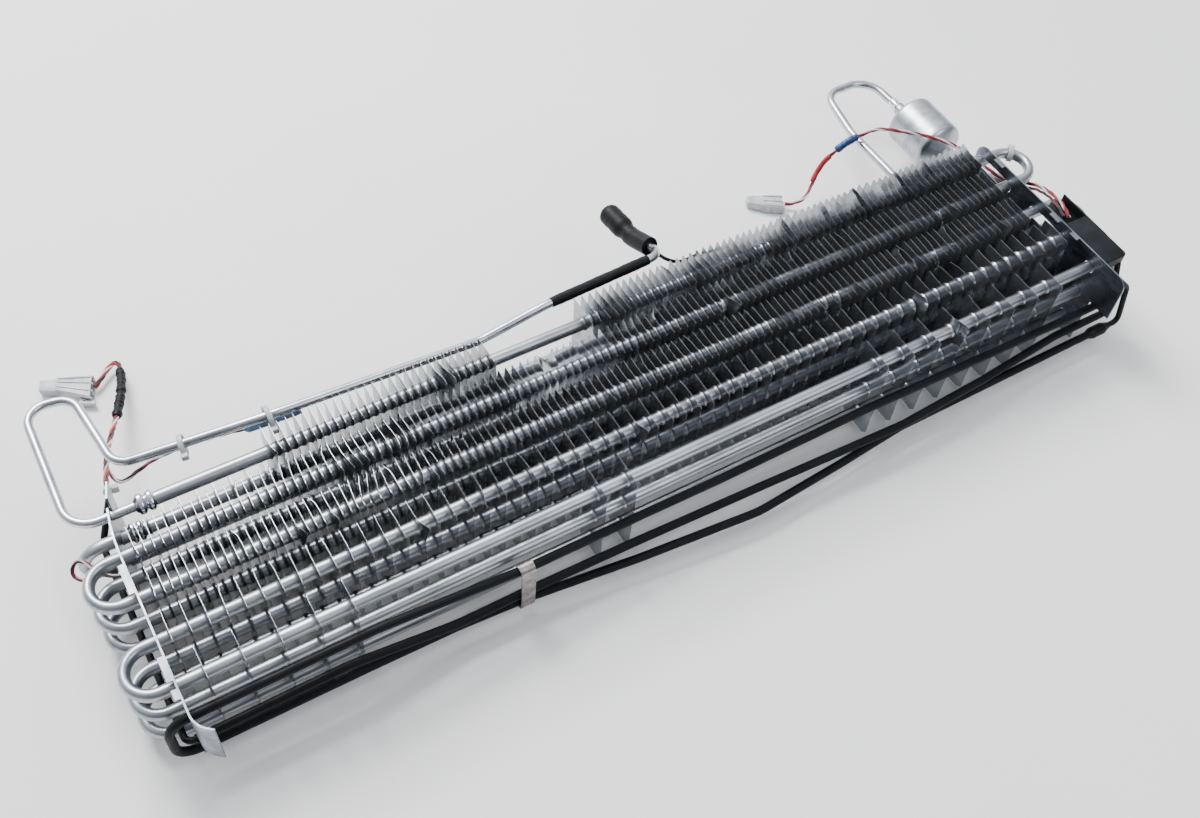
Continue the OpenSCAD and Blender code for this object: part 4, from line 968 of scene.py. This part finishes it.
# %% Terminal box
BOX_W, BOX_L, BOX_H, TRAY, BOX_WALL = 19, 62, 8, 22, 1.2
x0, y0, z0 = BOX_LOW
x1, y1, z1 = BOX_LOW + [BOX_W, BOX_L, BOX_H]
box_parts = [
    block([x0, y0, z0], [x1, y1 - TRAY, z1], 3.0, 0.8),
    block([x0, y0 + 20, z0], [x1, y1, z0 + BOX_WALL], 2.0, 0.3),
    block([x0, y0 + 20, z0 + 0.4], [x0 + BOX_WALL, y1, z1], 0.5, 0.4),
    block([x1 - BOX_WALL, y0 + 20, z0 + 0.4], [x1, y1, z1], 0.5, 0.4)]
piece("terminal_housing", [(joined(box_parts), black_plastic)], ["terminal_box"])

# %% [markdown]
# ## Floor and light
# A plain pale floor and soft light from large lamps. Metal shows what surrounds it, so an even sky would
# leave it flat. This one goes from white behind the coil to grey in front, which gives the tubes their
# bright band and their dark sides.

# %% Stage
FAR = 30  # metres, so that the floor's edge is out of the picture
floor_mesh = bpy.data.meshes.new("floor")
floor_mesh.from_pydata([(-FAR, -FAR, 0), (FAR, -FAR, 0), (FAR, FAR, 0), (-FAR, FAR, 0)], [], [(0, 1, 2, 3)])
# Uncoated board: nearly white and matt, so that the coil's shadow is soft and clear.
pale_board = surface(
    "pale_matt_board", ["#F3F4F4", "#F7F7F7", "#FBFBFB"], (0.6, 0.75), 0.0,
    blotch_mm=400, grain_mm=2, height_mm=0.02)
floor_mesh.materials.append(pale_board)
floor = in_scene("floor", floor_mesh)


def soft_lamp(name, at, aim_at, size, watts, colour):
    """Square lamp at a point, its -Z turned to what it lights."""
    lamp = bpy.data.lights.new(name, "AREA")
    lamp.shape, lamp.size, lamp.energy, lamp.color = "SQUARE", size, watts, linear(colour)[:3]
    back = unit(np.asarray(at, float) - np.asarray(aim_at, float))
    side = unit(np.cross([0.0, 0.0, 1.0], back))
    in_scene(name, lamp).matrix_world = standing(side, np.cross(back, side), back, at)


coil_middle = (0.3, 0.0, 0.05)
soft_lamp("key", (0.1, 1.3, 1.5), coil_middle, 0.9, 60, "#FFFFFF")
soft_lamp("fill", (0.9, -1.0, 1.4), coil_middle, 1.0, 10, "#F4F6FA")
print("lamps:", len(bpy.data.lights))

# %% Sky
BRIGHT_SIDE, DARK_FROM, SKY_STRENGTH = (0.0, 0.7, 0.714), -0.75, 1.75
world = bpy.data.worlds.new("studio")
world.use_nodes = True
sky = next(n for n in world.node_tree.nodes if n.type == "BACKGROUND")
tree = world.node_tree
direction = add_node(tree, "ShaderNodeTexCoord").outputs["Generated"]
towards = add_node(tree, "ShaderNodeVectorMath", {"operation": "DOT_PRODUCT"}, {0: direction})
towards.inputs[1].default_value = BRIGHT_SIDE
from_dark = add_node(tree, "ShaderNodeMapRange", {"From Min": DARK_FROM}, {"Value": towards.outputs["Value"]})
sky_stops = [(0.0, "#3C3F45"), (0.45, "#7C7F85"), (0.7, "#A4A7AB"), (0.97, "#FFFFFF")]
shades = add_node(
    tree, "ShaderNodeValToRGB", {"stops": [(at, linear(tone)) for at, tone in sky_stops]},
    {"Fac": from_dark.outputs["Result"]})
tree.links.new(shades.outputs["Color"], sky.inputs["Color"])
sky.inputs["Strength"].default_value = SKY_STRENGTH
bpy.context.scene.world = world
print("sky strength:", SKY_STRENGTH)
